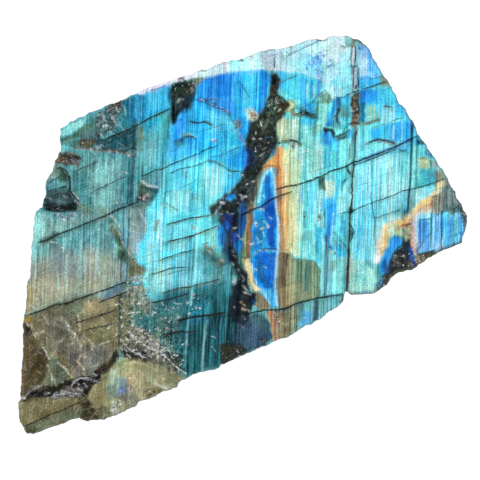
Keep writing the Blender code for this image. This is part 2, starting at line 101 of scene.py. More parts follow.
# Hollows in the face: corners, depth, width of the bank, height of the rough fracture inside.
HOLLOWS = {
    "upper_vein": ("271,77 269,87 270,94 264,106 262,112 256,119 249,123 247,132 246,152 250,160 246,172"
        " 242,179 235,187 228,194 220,200 215,205 210,210 209,215 213,218 218,216 221,220 227,238 235,242"
        " 233,234 235,222 239,210 242,203 247,197 249,190 253,183 257,176 265,163 271,155 274,147 276,140"
        " 276,120 278,113 282,108 283,104 279,97 277,90 281,84 280,78", 1.0, 0.9, 0.45),
    "lower_vein": ("227,242 235,247 237,260 240,270 246,277 247,289 255,295 255,303 251,311 250,320 243,327"
        " 239,324 235,314 236,302 238,290 237,278 232,267 228,254", 1.2, 0.8, 0.5),
    "bowl": ("42,202 49,195 59,192 68,191 74,198 78,203 77,210 67,213 54,212 45,211 31,209"
        " 31,200", 2.4, 1.8, 0.2),
    "left_step": ("56,168 63,173 68,179 69,189 59,192 49,195 37,200 35,183 43,167", 0.9, 0.8, 0.1),
    "shelf": ("75,144 87,146 97,142 102,142 109,139 119,135 130,130 135,129 136,142 135,152 129,155 117,154"
        " 104,152 91,150 79,148", 1.2, 1.1, 0.15),
    "corner_pit": ("96,114 103,110 111,106 119,103 122,108 117,112 112,117 112,123 115,128 109,132 106,139"
        " 100,141 96,137 98,127 99,119", 0.9, 0.8, 0.35),
    "edge_break": ("59,152 69,154 79,157 79,165 69,165 61,166 54,164 47,161 51,153", 1.0, 0.9, 0.35),
    "top_pit": ("170,86 175,84 183,82 190,82 194,90 194,100 190,106 187,113 180,113 176,119 173,126 170,119"
        " 170,107 168,98", 1.7, 1.1, 0.4),
    "middle_pit": ("139,182 149,188 158,191 156,199 151,203 144,203 136,204 138,194", 1.1, 0.9, 0.2),
    "brown_hollow": ("24,324 30,332 33,341 41,350 46,359 49,368 47,376 42,385 34,393 25,399 13,397"
        " 13,327", 1.3, 1.6, 0.1),
    "gash": ("19,401 31,394 44,390 59,386 73,381 87,379 99,373 107,364 113,359 115,366 109,373 107,379"
        " 100,382 93,386 91,390 85,398 71,397 59,399 47,398 37,401 27,403", 1.1, 0.9, 0.4),
    "lower_block": ("110,374 116,364 125,359 132,358 145,360 157,361 167,365 177,371 186,378 187,395 111,431"
        " 109,420 107,407 107,392", 0.9, 0.7, 0.1),
    "lower_chip": ("79,419 83,410 87,405 92,407 99,412 105,417 106,423 99,431 79,431", 1.5, 1.3, 0.15),
    "right_pit": ("404,240 401,247 395,252 390,259 387,266 382,276 375,290 379,303 403,291 419,275 415,266"
        " 410,258 408,248 409,240", 1.8, 1.5, 0.35),
}
ROUGH_SIZE = 2.6  # lumps of the rough fracture, with grains on them, and how its banks stray
GRAIN_SIZE = 0.9
GRAIN_SHARE = 0.45
BANK_STRAY = 0.35
BANK_STRAY_SIZE = 1.6

# Cleavage cracks that open as grooves: points, depth, half the width at the face.
GROOVES = {
    "long_split": ("354,49 353,62 355,77 355,90 354,102 354,114 353,127 355,142 353,162 352,180 351,197"
        " 350,214 350,232 349,252 347,272 346,289", 0.8, 0.9),
    "long_trace": ("239,216 257,208 274,200 289,192 309,182 329,174 349,166 369,158 394,148"
        " 413,140", 0.4, 0.7),
    "left_trace": ("37,245 46,242 54,237 69,232 84,226 99,220 111,214 124,209", 0.4, 0.7),
    "low_left_trace": ("28,317 39,313 51,309 64,305 84,299 99,293 114,288 126,283", 0.4, 0.7),
    "lower_trace": ("261,311 269,312 284,310 299,305 314,301 329,300 340,298", 0.4, 0.7),
    "right_lamella": ("411,126 411,146 410,162 408,192 406,217", 0.3, 0.6),
}

BEVEL_LINE = (
    "51,132 83,119 111,107 130,99 149,92 169,85 189,81 209,76 229,72 249,71 267,71 279,72 323,72 379,72"
    " 403,91")
BEVEL_SLOPE = 0.2
ROLL_LINE = "251,35 275,71 295,85 319,97 347,99 375,89 403,107"
ROLL_CURVATURE = 0.006

# The broken wall: scoops and blocks cut into it, and what it does towards the face and the back.
SCOOPS = 80
SCOOP_SEED = 7
SCOOP_SHIFT = 2.0
SCOOP_LEAST, SCOOP_MOST = 0.2, 3.4
SCOOP_START = 1.3
SCOOP_TILT = 0.34
SCOOP_ALONG, SCOOP_UP = 0.045, 0.03
BLOCK_SIZE = 7.0
BLOCK_STEP = 0.5
BLOCK_LEVELS = 1.5
WALL_EASE = 0.6
WALL_START = 2.5
BACK_INSET = 1.2
BACK_INSET_FROM, BACK_INSET_OVER = 0.7, 0.3  # shares of the wall's height, from the face down
CORNER_EASE = 2.6
WALL_GRAIN = 0.22

# The sawn back.
SAW_MARK = 0.02
SAW_LINES = 3.1  # radians for each millimetre across
CHIP_DEPTH = 0.5
CHIP_REACH = 1.6


# --------------------------------------------------------------------------------------------------
# Geometry in the plane

def points(shape):
    """The points of a shape that is written as x,y pairs."""
    return [tuple(float(value) for value in pair.split(",")) for pair in shape.split()]


def to_mm(shape):
    """The points of a drawn shape, on the stone, in millimetres."""
    return [((x - MIDDLE_PX[0]) * MM_PER_PX, (MIDDLE_PX[1] - y) * MM_PER_PX) for x, y in points(shape)]


def smoothstep(share):
    """A share from 0 to 1, eased at both ends."""
    share = np.clip(share, 0.0, 1.0)
    return share * share * (3.0 - 2.0 * share)


def lumps(x, y, size, seed):
    """Smooth noise from -1 to 1 with lumps about this size across."""
    table = np.random.default_rng(seed).uniform(-1.0, 1.0, (NOISE_CELLS, NOISE_CELLS))
    column, row = np.floor(x / size).astype(int), np.floor(y / size).astype(int)
    across, up = smoothstep(x / size - column), smoothstep(y / size - row)
    left, right = column % NOISE_CELLS, (column + 1) % NOISE_CELLS
    below, above = row % NOISE_CELLS, (row + 1) % NOISE_CELLS
    low = table[below, left] * (1 - across) + table[below, right] * across
    high = table[above, left] * (1 - across) + table[above, right] * across
    return low * (1 - up) + high * up


def layered(x, y, layers, seed):
    """Lumps of several sizes, each with its weight, laid over each other."""
    return sum(weight * lumps(x, y, size, seed + k) for k, (size, weight) in enumerate(layers))


def to_segment(x, y, start, end):
    """Squared distance from each point to a segment, and its side of the line: positive on the left."""
    (x0, y0), (x1, y1) = start, end
    along = np.clip(((x - x0) * (x1 - x0) + (y - y0) * (y1 - y0)) / ((x1 - x0) ** 2 + (y1 - y0) ** 2), 0, 1)
    squared = (x - x0 - along * (x1 - x0)) ** 2 + (y - y0 - along * (y1 - y0)) ** 2
    side = (x1 - x0) * (y - y0) - (y1 - y0) * (x - x0)
    return squared, side


def from_line(x, y, line):
    """Distance from each point to an open line: positive on its left, negative on its right."""
    nearest, side = np.full(len(x), np.inf), np.ones(len(x))
    for start, end in zip(line, line[1:]):
        squared, here = to_segment(x, y, start, end)
        closer = squared < nearest
        nearest = np.where(closer, squared, nearest)
        side = np.where(closer, np.where(here < 0, -1.0, 1.0), side)
    return np.sqrt(nearest) * side


def inside_by(x, y, corners):
    """How far each point lies inside a closed outline, negative outside it."""
    nearest, crossings = np.full(len(x), np.inf), np.zeros(len(x), int)
    for (x0, y0), (x1, y1) in zip(corners, corners[1:] + corners[:1]):
        nearest = np.minimum(nearest, to_segment(x, y, (x0, y0), (x1, y1))[0])
        spans = (y0 > y) != (y1 > y)
        crossings += spans & (x < x0 + (y - y0) * (x1 - x0) / (y1 - y0 if y1 != y0 else 1.0))
    return np.where(crossings % 2 == 1, 1.0, -1.0) * np.sqrt(nearest)


def near(x, y, corners, margin):
    """Which points lie in the box round some corners, with a margin."""
    px, py = np.array(corners).T
    return ((x > px.min() - margin) & (x < px.max() + margin)
            & (y > py.min() - margin) & (y < py.max() + margin))


def from_ends(x, y, line):
    """Distance from each point to the nearer end of a line."""
    return np.minimum(np.hypot(x - line[0][0], y - line[0][1]), np.hypot(x - line[-1][0], y - line[-1][1]))


def split_long(line, longest):
    """An open line with points added wherever two neighbours are further apart than this."""
    found = []
    for start, end in zip(line, line[1:]):
        parts = max(1, int(np.ceil(np.hypot(end[0] - start[0], end[1] - start[1]) / longest)))
        found += [(start[0] + (end[0] - start[0]) * k / parts, start[1] + (end[1] - start[1]) * k / parts)
                  for k in range(parts)]
    return found + [line[-1]]


def beside(line, gap):
    """The line moved sideways by a gap, to its left when that is positive."""
    x, y = np.array(line).T
    run = np.stack([np.gradient(x), np.gradient(y)], axis=1)
    run /= np.linalg.norm(run, axis=1)[:, None]
    return [(px - gap * across[1], py + gap * across[0]) for px, py, across in zip(x, y, run)]


# --------------------------------------------------------------------------------------------------
# Fine cracks, and pale fracture lines whose white is partly painted highlight along their raised ridges:
# their shape, strength from 0 to 1, half their width in millimetres.

CRACKS = [
    # left field
    ("37,243 47,240 56,235 70,230 82,225 95,220 105,216 117,210 130,205 140,201", 0.95, 0.45),
    ("25,316 40,311 50,307 58,304 66,304 75,300 90,295 105,290 120,284 127,282", 1.0, 0.5),
    ("98,303 110,298 120,295 128,291", 0.9, 0.35), ("74,324 82,321 95,317 108,313 117,309", 0.85, 0.38),
    ("84,331 90,329 105,326 115,323", 0.8, 0.34),
    ("105,139 112,136 130,129 140,124 150,118 165,111 172,108", 1.0, 0.36),
    ("72,173 80,169 90,165 100,160", 0.7, 0.28), ("88,194 92,192 103,187 120,179 130,175", 0.7, 0.28),
    ("22,427 30,424 50,415 65,409 80,402 87,398", 0.8, 0.4), ("45,193 55,189 68,186", 0.8, 0.3),
    ("46,184 55,179 62,174", 0.6, 0.28), ("58,166 66,171 70,178 70,190 79,200", 1.0, 0.5),
    ("43,207 52,211 64,212", 0.8, 0.4),
    # cyan field
    ("140,177 143,176 155,170 163,169 170,165 180,161 195,155 207,149 220,145", 0.85, 0.3),
    ("168,174 180,169 195,166 208,161", 0.75, 0.28), ("178,189 190,184 200,178", 0.5, 0.26),
    ("165,225 180,221 190,218 200,217 212,215", 0.8, 0.32),
    ("166,242 180,239 192,236 200,233 210,229 219,225", 0.85, 0.36),
    ("160,260 163,259 175,255 185,252 194,250", 0.8, 0.28), ("200,245 210,242", 0.6, 0.26),
    ("150,275 160,272 172,268 190,267", 0.8, 0.28), ("165,275 175,272 188,269", 0.55, 0.25),
    ("155,285 165,283", 0.5, 0.25), ("160,294 170,291 180,288 190,287 200,284 210,282 220,279", 0.85, 0.32),
    ("150,303 160,301 170,299 180,296 190,293", 0.85, 0.36), ("192,297 205,294", 0.6, 0.3),
    ("175,321 185,319 195,317 210,315 228,312", 0.9, 0.42),
    ("160,336 163,335 175,332 190,332 200,331", 0.8, 0.36), ("208,157 220,156 232,150 243,146", 0.6, 0.26),
    ("190,100 197,100 205,103 214,107 225,110 230,117", 0.7, 0.3),
    ("232,72 240,83 247,93 251,99", 0.45, 0.25), ("203,79 214,79 224,74 232,71", 0.4, 0.25),
    ("189,121 197,123 205,122 213,126", 0.85, 0.34), ("194,134 205,130 215,127 228,124", 0.5, 0.26),
    ("180,142 187,137 193,137 196,139", 0.7, 0.32), ("225,169 232,172 241,171", 0.7, 0.3),
    ("152,197 160,196 168,191 176,190", 0.45, 0.26),
    # right half
    ("274,190 285,187 300,184 312,180 322,176 331,171 345,167 352,163 365,159 380,153 395,147 405,142 412,138"
     " 420,135", 1.0, 0.42),
    ("352,165.5 365,161.5 380,155.5 398,148", 0.8, 0.3),
    ("240,216 244,214 252,210 262,206 272,199 282,195 294,191", 0.9, 0.36),
    ("335,98 345,97 352,92", 0.7, 0.32), ("360,90 370,87 380,83 388,81", 0.75, 0.32),
    ("358,80 370,77 381,74", 0.4, 0.25), ("370,129 385,124 395,120 406,117", 0.55, 0.26),
    ("338,214 352,211 368,204 380,200 392,196 402,191 417,188 430,184 447,178", 0.8, 0.28),
    ("373,219 390,213 402,209", 0.6, 0.25),
    ("240,316 255,312 265,310 275,310 285,309 295,304 305,301 318,298 345,294", 1.0, 0.5),
    ("293,115 303,112 312,114 318,115", 0.8, 0.4), ("294,109 302,107 310,105 320,97 330,92", 0.45, 0.3),
    ("280,141 290,140 296,141 300,143", 0.7, 0.32),
    ("256,254 262,250 270,249 278,250 288,250 291,254 296,259 314,261 320,270 320,284", 0.5, 0.28),
    ("334,139 341,135 352,130", 0.5, 0.28), ("348,177 343,182 341,192", 0.7, 0.28),
    ("371,190 371,198 373,210 375,220 374,240", 0.6, 0.24), ("350,222 354,232 350,243", 0.7, 0.28),
    ("333,230 342,240 347,248", 0.45, 0.25), ("351,252 358,262 366,272", 0.4, 0.25),
    ("288,260 300,259 314,261", 0.4, 0.25), ("366,144 372,141 378,139 388,141 396,144", 0.9, 0.42),
    ("398,149 403,151 408,150", 0.8, 0.36), ("384,106 391,106", 0.6, 0.3),
    ("419,221 429,219 436,215", 0.5, 0.24), ("443,210 452,207 459,203", 0.6, 0.3),
    ("424,222 424,238 419,250", 0.5, 0.24), ("284,50 290,54 286,58", 0.5, 0.25),
    ("274,55 275,62 275,70", 0.7, 0.26), ("301,46 311,43 320,40", 0.3, 0.25),
    # split down the right half, from its pale top to its brown foot
    ("355.5,45 355.5,53 356,62", 0.8, 0.26), ("358.5,66 358.5,78 358.5,88", 0.8, 0.26),
    ("351.5,49 351,55 350,61", 0.6, 0.26), ("353.5,67 353.5,78 353.5,89", 0.6, 0.26),
    ("350,94 353,92 358,90.5 361,90", 0.8, 0.36), ("358.5,104 359,115", 0.9, 0.3),
    ("357,129 355.5,139 355,150 354,160 354,166 352.5,176 352,186 352,196 351,206 350,214 350,224 349.5,236"
     " 349,252 348,270 347,285 347,293", 0.9, 0.34),
    ("350,140 349.5,152 349,162", 0.5, 0.26), ("347,166 348,171 351,175", 0.9, 0.36),
    # dark lamellae near the right edge
    ("412,124 411.7,146 411,165 409.5,190 407.5,213", 0.55, 0.3), ("431,216 430.5,234 430.5,248", 0.5, 0.24),
    ("441.8,212 441.5,230 441,247", 0.5, 0.24),
]
# Pale fracture lines, raised a little. Their white is partly painted highlight along the ridges.
PALE_RIDGE_GLINTS = [
    ("131,335 141,342 150,349 160,352 167,358 172,363 180,370 190,376", 0.9, 0.36),
    ("128,349 131,351 140,355 146,356", 0.9, 0.34), ("125,353 133,359", 0.8, 0.3),
    ("150,338 160,346 168,350 172,355", 0.8, 0.34), ("171,301 176,304 184,304", 0.8, 0.28),
    ("110,213 114,219 121,228", 0.7, 0.28), ("112,222 118,232 122,242", 0.5, 0.26),
    ("140,213 144,219 148,225", 0.6, 0.26), ("132,222 137,227", 0.5, 0.24),
    ("48,398 58,395 66,392 74,394 85,394", 0.7, 0.32), ("75,382 80,378 90,378 98,382", 0.7, 0.3),
    ("41,345 46,352 48,358 52,360", 0.7, 0.32), ("51,372 54,378 57,383", 0.5, 0.26),
    ("142,182 146,185 150,186 156,187 158,187", 0.95, 0.36), ("71,190 75,195 80,201", 0.8, 0.3),
    ("58,167 64,171 69,177", 0.5, 0.28), ("135,274 140,279 147,281", 0.8, 0.34),
    ("128,284 134,287 141,286", 0.6, 0.28), ("143,290 148,297 152,300", 0.6, 0.3),
    ("132,300 137,304 141,304", 0.5, 0.26), ("242,285 245,289 247,292", 0.8, 0.3),
    ("209,335 214,337 217,339", 0.7, 0.26), ("210,345 215,350 217,353", 0.6, 0.26),
    ("154,383 160,386 164,389", 0.8, 0.3), ("32,325 36,334 42,342", 0.4, 0.26),
    ("91,340 94,344 96,347", 0.6, 0.28), ("260,156 264,153 266,150", 0.6, 0.24),
    ("60,314 66,322 73,331 80,343", 0.35, 0.5), ("52,340 62,355 72,370", 0.3, 0.4),
    ("124,106 126,111 127,115", 0.5, 0.26), ("112,116 116,122 118,126", 0.5, 0.26),
    ("99,132 103,138 105,140", 0.6, 0.26),
]
CRACK_DEPTH = 0.22
PALE_RIDGE_RISE = 0.05
LINE_STRAY = 0.05
CRACK_LIP, CRACK_SPREAD = 0.12, 0.5  # a crack's lips lie this far out, with this much of its half width
CRACK_SEED, PALE_RIDGE_SEED = 100, 300
LINE_END = 1.2  # a fine line fades in over this much of its ends
SHADE_REACH = 0.7
SHADE_END = 1.5
SHADED_FROM = 0.6  # the least strength of a crack that has shade beside it


def wavered(line, seed):
    """A drawn line in millimetres, with short steps that stray a little to its sides."""
    random = np.random.default_rng(seed)
    x, y = np.array(split_long(to_mm(line), LINE_STEP)).T
    stray = random.normal(0, LINE_STRAY, (2, len(x)))
    stray[:, [0, -1]] = 0
    return list(zip(x + stray[0], y + stray[1]))


FINE_LINES = {
    "crack": [(wavered(line, CRACK_SEED + k), strength, CRACK_LIP + CRACK_SPREAD * width)
              for k, (line, strength, width) in enumerate(CRACKS)],
    "pale_ridge_glint": [(wavered(line, PALE_RIDGE_SEED + k), strength, width)
             for k, (line, strength, width) in enumerate(PALE_RIDGE_GLINTS)],
}
HOLLOWS_MM = [(to_mm(corners), depth, bank, rough) for corners, depth, bank, rough in HOLLOWS.values()]
GROOVES_MM = [(to_mm(line), depth, half_width) for line, depth, half_width in GROOVES.values()]


def line_mark(x, y, kind):
    """How strongly the fine lines of a kind mark each point: most along a line, nothing at its lips."""
    mark = np.zeros(len(x))
    for line, strength, width in FINE_LINES[kind]:
        here = near(x, y, line, width)
        if not here.any():
            continue
        px, py = x[here], y[here]
        gap = np.abs(from_line(px, py, line))
        ragged = 0.8 + 0.2 * lumps(px, py, 0.9, 61)
        kept = smoothstep(0.25 + from_ends(px, py, line) / LINE_END)
        mark[here] = np.maximum(mark[here], strength * ragged * np.clip(1 - gap / width, 0, 1) * kept)
    return mark


def crack_shade(x, y):
    """The soft dark bands beside the stronger cracks, deeper now on one side and now on the other."""
    shade = np.zeros(len(x))
    for line, strength, _ in FINE_LINES["crack"]:
        here = near(x, y, line, 2.5 * SHADE_REACH)
        if strength < SHADED_FROM or not here.any():
            continue
        px, py = x[here], y[here]
        gap = from_line(px, py, line)
        one_side = 0.35 + 0.5 * lumps(px, py, 5.0, 62) - 0.25 * np.sign(gap)
        band = strength * np.clip(one_side, 0.05, 0.9) * np.exp(-np.abs(gap) / SHADE_REACH)
        kept = smoothstep(0.15 + from_ends(px, py, line) / SHADE_END)
        shade[here] = np.maximum(shade[here], band * kept)
    return shade


def face_height(x, y):
    """Height of the worked face above the back, with its hollows, grooves, cracks and rolled edge."""
    drop = BEVEL_SLOPE * np.clip(from_line(x, y, to_mm(BEVEL_LINE)), 0, None)
    drop += ROLL_CURVATURE * np.clip(from_line(x, y, to_mm(ROLL_LINE)), 0, None) ** 2
    broken = layered(x, y, [(ROUGH_SIZE, 1.0), (ROUGH_SIZE / 2, 0.5)], 21)
    fine = layered(x, y, [(GRAIN_SIZE, 1.0), (GRAIN_SIZE / 2, 0.6)], 23)
    wx = x + BANK_STRAY * lumps(x, y, BANK_STRAY_SIZE, 25)
    wy = y + BANK_STRAY * lumps(x, y, BANK_STRAY_SIZE, 26)
    for corners, depth, bank, rough in HOLLOWS_MM:
        share = smoothstep(inside_by(wx, wy, corners) / bank)
        drop += share * (depth + rough * (broken + GRAIN_SHARE * fine))
    for line, depth, half_width in GROOVES_MM:
        share = smoothstep(1 - np.abs(from_line(x, y, line)) / half_width)
        drop += share * depth * (0.8 + 0.4 * lumps(x, y, 1.5, 27))
    drop += CRACK_DEPTH * line_mark(x, y, "crack") - PALE_RIDGE_RISE * line_mark(x, y, "pale_ridge_glint")
    return THICKNESS - drop


# --------------------------------------------------------------------------------------------------
# The stone's mesh

class Rim:
    """The stone's outermost line, as a closed ring of points with what goes with each of them."""

    def __init__(self, spacing, chips):
        corners = [point for stretch, _ in STRETCHES for point in to_mm(stretch)]
        self.points = np.array(split_long(corners + corners[:1], spacing)[:-1])
        self.measure()
        self.inset = self.eased(self.stretch_insets(), RIM_EASE)
        self.outward = self.normals()
        ragged = layered(self.along, 0 * self.along, [(1.3, 1.0), (0.6, 0.7)], 51)
        self.points = self.points + self.outward * (chips * (ragged - 0.6))[:, None]

    def measure(self):
        """The ring's length, and each point's place along it and share of it."""
        steps = np.linalg.norm(np.roll(self.points, -1, axis=0) - self.points, axis=1)
        self.length = steps.sum()
        self.along = np.concatenate([[0], np.cumsum(steps)[:-1]])
        self.share = (steps + np.roll(steps, 1)) / 2

    def stretch_insets(self):
        """The inset of the stretch that each point of the ring lies on."""
        wide, nearest = np.zeros(len(self.points)), np.full(len(self.points), np.inf)
        for stretch, inset in STRETCHES:
            gap = np.abs(from_line(self.points[:, 0], self.points[:, 1], to_mm(stretch)))
            wide = np.where(gap < nearest, inset, wide)
            nearest = np.minimum(gap, nearest)
        return wide

    def eased(self, values, reach):
        """Values along the ring, averaged over about this much of it."""
        gap = np.abs(self.along[:, None] - self.along[None, :])
        gap = np.minimum(gap, self.length - gap)
        weight = np.exp(-0.5 * (gap / reach) ** 2) * self.share[None, :]
        return weight @ values / (weight.sum(axis=1) if values.ndim == 1 else weight.sum(axis=1)[:, None])

    def normals(self):
        """The outward direction at each point, without the small zigzags."""
        smooth = self.eased(self.points, TURN_EASE)
        run = np.roll(smooth, -1, axis=0) - np.roll(smooth, 1, axis=0)
        run /= np.linalg.norm(run, axis=1)[:, None]
        return np.stack([-run[:, 1], run[:, 0]], axis=1)


def wall_relief(rim, height):
    """How far back from the outermost line the broken wall lies, for each point at its height."""
    random = np.random.default_rng(SCOOP_SEED)
    spots = np.linspace(0, rim.length, SCOOPS, endpoint=False)
    spots = spots + random.uniform(-SCOOP_SHIFT, SCOOP_SHIFT, SCOOPS)
    levels = random.uniform(0, THICKNESS, SCOOPS)
    backs = random.uniform(SCOOP_LEAST, SCOOP_MOST, SCOOPS)
    leans = random.uniform(-SCOOP_TILT, SCOOP_TILT, (SCOOPS, 2))
    cut = np.zeros(len(rim.along))
    for spot, level, back, (lean, tip) in zip(spots, levels, backs, leans):
        gap = (rim.along - spot + rim.length / 2) % rim.length - rim.length / 2
        up = height - level
        cut = np.maximum(cut, back + lean * gap + tip * up - SCOOP_ALONG * gap ** 2 - SCOOP_UP * up ** 2)
    blocks = np.round(BLOCK_LEVELS * lumps(rim.along, height * 1.6, BLOCK_SIZE, 31)) / BLOCK_LEVELS
    return rim.eased(np.maximum(cut - SCOOP_START, 0) + BLOCK_STEP * (0.67 - blocks), WALL_EASE)


def wall_grain(rim, height):
    """The fine steps and grains of the broken wall."""
    steps = lumps(rim.along + 0.35 * height, height * 3.0, 1.7, 33)
    grains = lumps(rim.along, height, 0.8, 34)
    return WALL_GRAIN * (1 + np.round(2 * steps) / 2 + 0.5 * grains)


def wall_rings(rim):
    """The rings of points down the wall, from the edge of the polished face to the edge of the sawn back."""
    face_edge = rim.points - rim.outward * rim.inset[:, None]
    top = face_height(face_edge[:, 0], face_edge[:, 1])
    belt = top - RIM_LINE_BELOW * rim.inset - RIM_LINE_DROP
    rings = [np.column_stack([face_edge, top]), np.column_stack([rim.points, belt])]
    for row in range(1, WALL_ROWS + 1):
        share = (row / WALL_ROWS) ** 0.9
        height = belt * (1 - share)
        below = smoothstep((belt - height) / WALL_START)
        back = wall_relief(rim, height) * below + wall_grain(rim, height) * min(1, row / 2)
        back += BACK_INSET * smoothstep((share - BACK_INSET_FROM) / BACK_INSET_OVER)
        eased = rim.eased(rim.points, WALL_EASE + CORNER_EASE * share)
        rings.append(np.column_stack([eased - rim.outward * back[:, None], height]))
    return rings


def as_corners(ring):
    """A ring of the wall as flat corners."""
    return [tuple(point) for point in ring[:, :2]]


def drawn_lines():
    """The lines that the face's triangles keep to: both lips and the middle of each fine line."""
    lines = []
    for group in FINE_LINES.values():
        for line, _, width in group:
            lines += [beside(line, -width), line, beside(line, width)]
    return lines


def line_points(ring):
    """The points of the drawn lines that lie inside the ring, and the edges that join them."""
    lines = drawn_lines()
    x, y = np.concatenate([np.array(line) for line in lines]).T
    inside = inside_by(x, y, ring) > LINE_MARGIN
    points, edges, place = [], [], 0
    for line in lines:
        for k, point in enumerate(line):
            if inside[place] and k and inside[place - 1]:
                edges.append((len(points) - 1, len(points)))
            if inside[place]:
                points.append(point)
            place += 1
    return points, edges


def spread_points(ring, spacing):
    """A staggered grid of points inside a ring and clear of the fine lines."""
    low, high = np.array(ring).min(axis=0), np.array(ring).max(axis=0)
    rows = np.arange(low[1], high[1], spacing * ROW_SHARE)
    columns = np.arange(low[0], high[0], spacing)
    x = (columns[None, :] + spacing * 0.5 * (np.arange(len(rows)) % 2)[:, None]).ravel()
    y = np.repeat(rows, len(columns))
    x = x + POINT_STRAY * spacing * lumps(x, y, spacing, 41)
    y = y + POINT_STRAY * spacing * lumps(x, y, spacing, 42)
    keep = inside_by(x, y, ring) > EDGE_GAP * spacing
    x, y = x[keep], y[keep]
    clear = np.ones(len(x), bool)
    for group in FINE_LINES.values():
        for line, _, width in group:
            here = np.flatnonzero(near(x, y, line, width + 2 * LIP_GAP))
            clear[here] &= np.abs(from_line(x[here], y[here], line)) > width + LIP_GAP
    return list(zip(x[clear], y[clear]))


def triangulate(ring, inner=(), inner_edges=()):
    """Flat triangles that fill a ring through the inner points, anticlockwise, and all their points."""
    count = len(ring)
    points = [Vector(point) for point in ring] + [Vector(point) for point in inner]
    edges = [(k, (k + 1) % count) for k in range(count)]
    edges += [(count + start, count + end) for start, end in inner_edges]
    placed, _, faces, *_ = delaunay_2d_cdt(points, edges, [], 1, 1e-5)
    return np.array([tuple(point) for point in placed]), [list(face) for face in faces]


def back_height(x, y, ring):
    """Height of the back above the ground: flat, with saw marks, and chipped at its rim."""
    rim = inside_by(x, y, ring)
    marks = SAW_MARK + SAW_MARK * np.sin(x * SAW_LINES + 0.4 * np.sin(y * 0.11))
    chips = CHIP_DEPTH * smoothstep(1 - rim / CHIP_REACH) * smoothstep(lumps(x, y, 3.0, 45) + 0.1)
    return np.where(rim > 0.05, marks + chips, 0.0)


class Stone:
    """The whole stone as one closed mesh, with what each vertex is on: the face, the wall or the back."""

    def __init__(self):
        rim = Rim(RIM_SPACING, RIM_CHIPS)
        rings = wall_rings(rim)
        count = len(rim.points)
        last = (len(rings) - 1) * count
        ring = as_corners(rings[0])
        drawn, drawn_edges = line_points(ring)
        face, face_triangles = triangulate(ring, drawn + spread_points(ring, FACE_SPACING), drawn_edges)
        face = np.column_stack([face, face_height(face[:, 0], face[:, 1])])
        floor_ring = as_corners(rings[-1])
        back, back_triangles = triangulate(floor_ring, spread_points(floor_ring, BACK_SPACING))
        back = np.column_stack([back, back_height(back[:, 0], back[:, 1], floor_ring)])

        face_start = last + count
        back_start = face_start + len(face) - count
        self.points = np.concatenate(rings + [face[count:], back[count:]])
        self.faces = [[v if v < count else v - count + face_start for v in f] for f in face_triangles]
        self.faces += [[last + v if v < count else v - count + back_start for v in reversed(f)]
                       for f in back_triangles]
        for row in range(len(rings) - 1):
            for k in range(count):
                here, after = row * count + k, row * count + (k + 1) % count
                self.faces.append([here, after, after + count, here + count])
        self.on_face = np.zeros(len(self.points), bool)
        self.on_face[:count] = True
        self.on_face[face_start:back_start] = True
        self.on_back = np.zeros(len(self.points), bool)
        self.on_back[back_start:] = True
        self.along = np.concatenate([rim.along] * len(rings) + [np.zeros(len(self.points) - face_start)])


# --------------------------------------------------------------------------------------------------
# Colour. The named colours, from 0 to 255. A shape has the colour of its bright lamellae and that of its
# dark ones, or one colour for both.

COLOURS = {
    "teal_light": (116, 196, 198), "teal": (46, 120, 128), "teal_deep": (22, 86, 100),
    "teal_dark": (8, 44, 54), "teal_pale": (158, 214, 206), "teal_grey": (96, 132, 132),
    "grey_teal_dark": (52, 82, 86), "cyan_white": (198, 252, 252), "cyan_pale": (134, 250, 255),
    "cyan": (62, 226, 252), "cyan_mid": (26, 186, 238), "cyan_deep": (20, 136, 184),
    "aqua_pale": (172, 242, 232), "aqua": (94, 214, 216), "aqua_deep": (44, 158, 168),
    "azure_light": (66, 200, 255), "azure": (12, 160, 246), "azure_deep": (2, 114, 216),
    "royal": (8, 88, 210), "royal_light": (36, 138, 246), "royal_deep": (8, 56, 146),
    "navy": (12, 30, 84), "ink": (8, 16, 34), "periwinkle": (92, 148, 236), "cornflower": (72, 158, 250),
    "blue_grey": (88, 122, 156), "slate": (56, 78, 104), "slate_dark": (24, 40, 62),
    "mist": (182, 196, 180), "haze_grey": (132, 134, 122), "tan_pale": (178, 162, 120),
    "mint": (206, 244, 218), "peach": (224, 164, 124), "black": (8, 10, 12), "black_green": (16, 30, 30),
    "charcoal": (34, 46, 46), "charcoal_light": (74, 88, 84), "green_grey": (104, 128, 104),
    "green_dark": (44, 66, 48), "green_mid": (84, 132, 104), "sage": (150, 180, 146),
    "olive_pale": (178, 178, 136), "olive_light": (146, 142, 102), "olive": (104, 98, 60),
    "olive_dark": (62, 56, 30), "khaki": (158, 146, 104), "tan": (150, 124, 92), "umber": (104, 78, 52),
    "brown": (70, 46, 20), "brown_dark": (34, 22, 10), "rust": (158, 92, 34), "russet": (176, 98, 52),
    "orange": (232, 146, 76), "amber": (240, 184, 96), "gold": (246, 214, 120), "cream": (252, 240, 200),
    "lemon": (222, 232, 164), "lime_pale": (190, 222, 160), "mustard": (196, 160, 40),
    "white": (244, 248, 250), "ivory": (226, 224, 212), "grey": (120, 120, 116),
    "grey_dark": (74, 72, 70), "taupe": (112, 98, 84), "lilac_white": (218, 220, 238),
    "lilac": (176, 184, 214), "ice": (206, 234, 248), "rock": (196, 190, 166),
}


def linear(name):
    """A colour of the list as scene-linear red, green and blue."""
    value = np.array(COLOURS[name]) / 255
    return np.where(value <= 0.04045, value / 12.92, ((value + 0.055) / 1.055) ** 2.4)


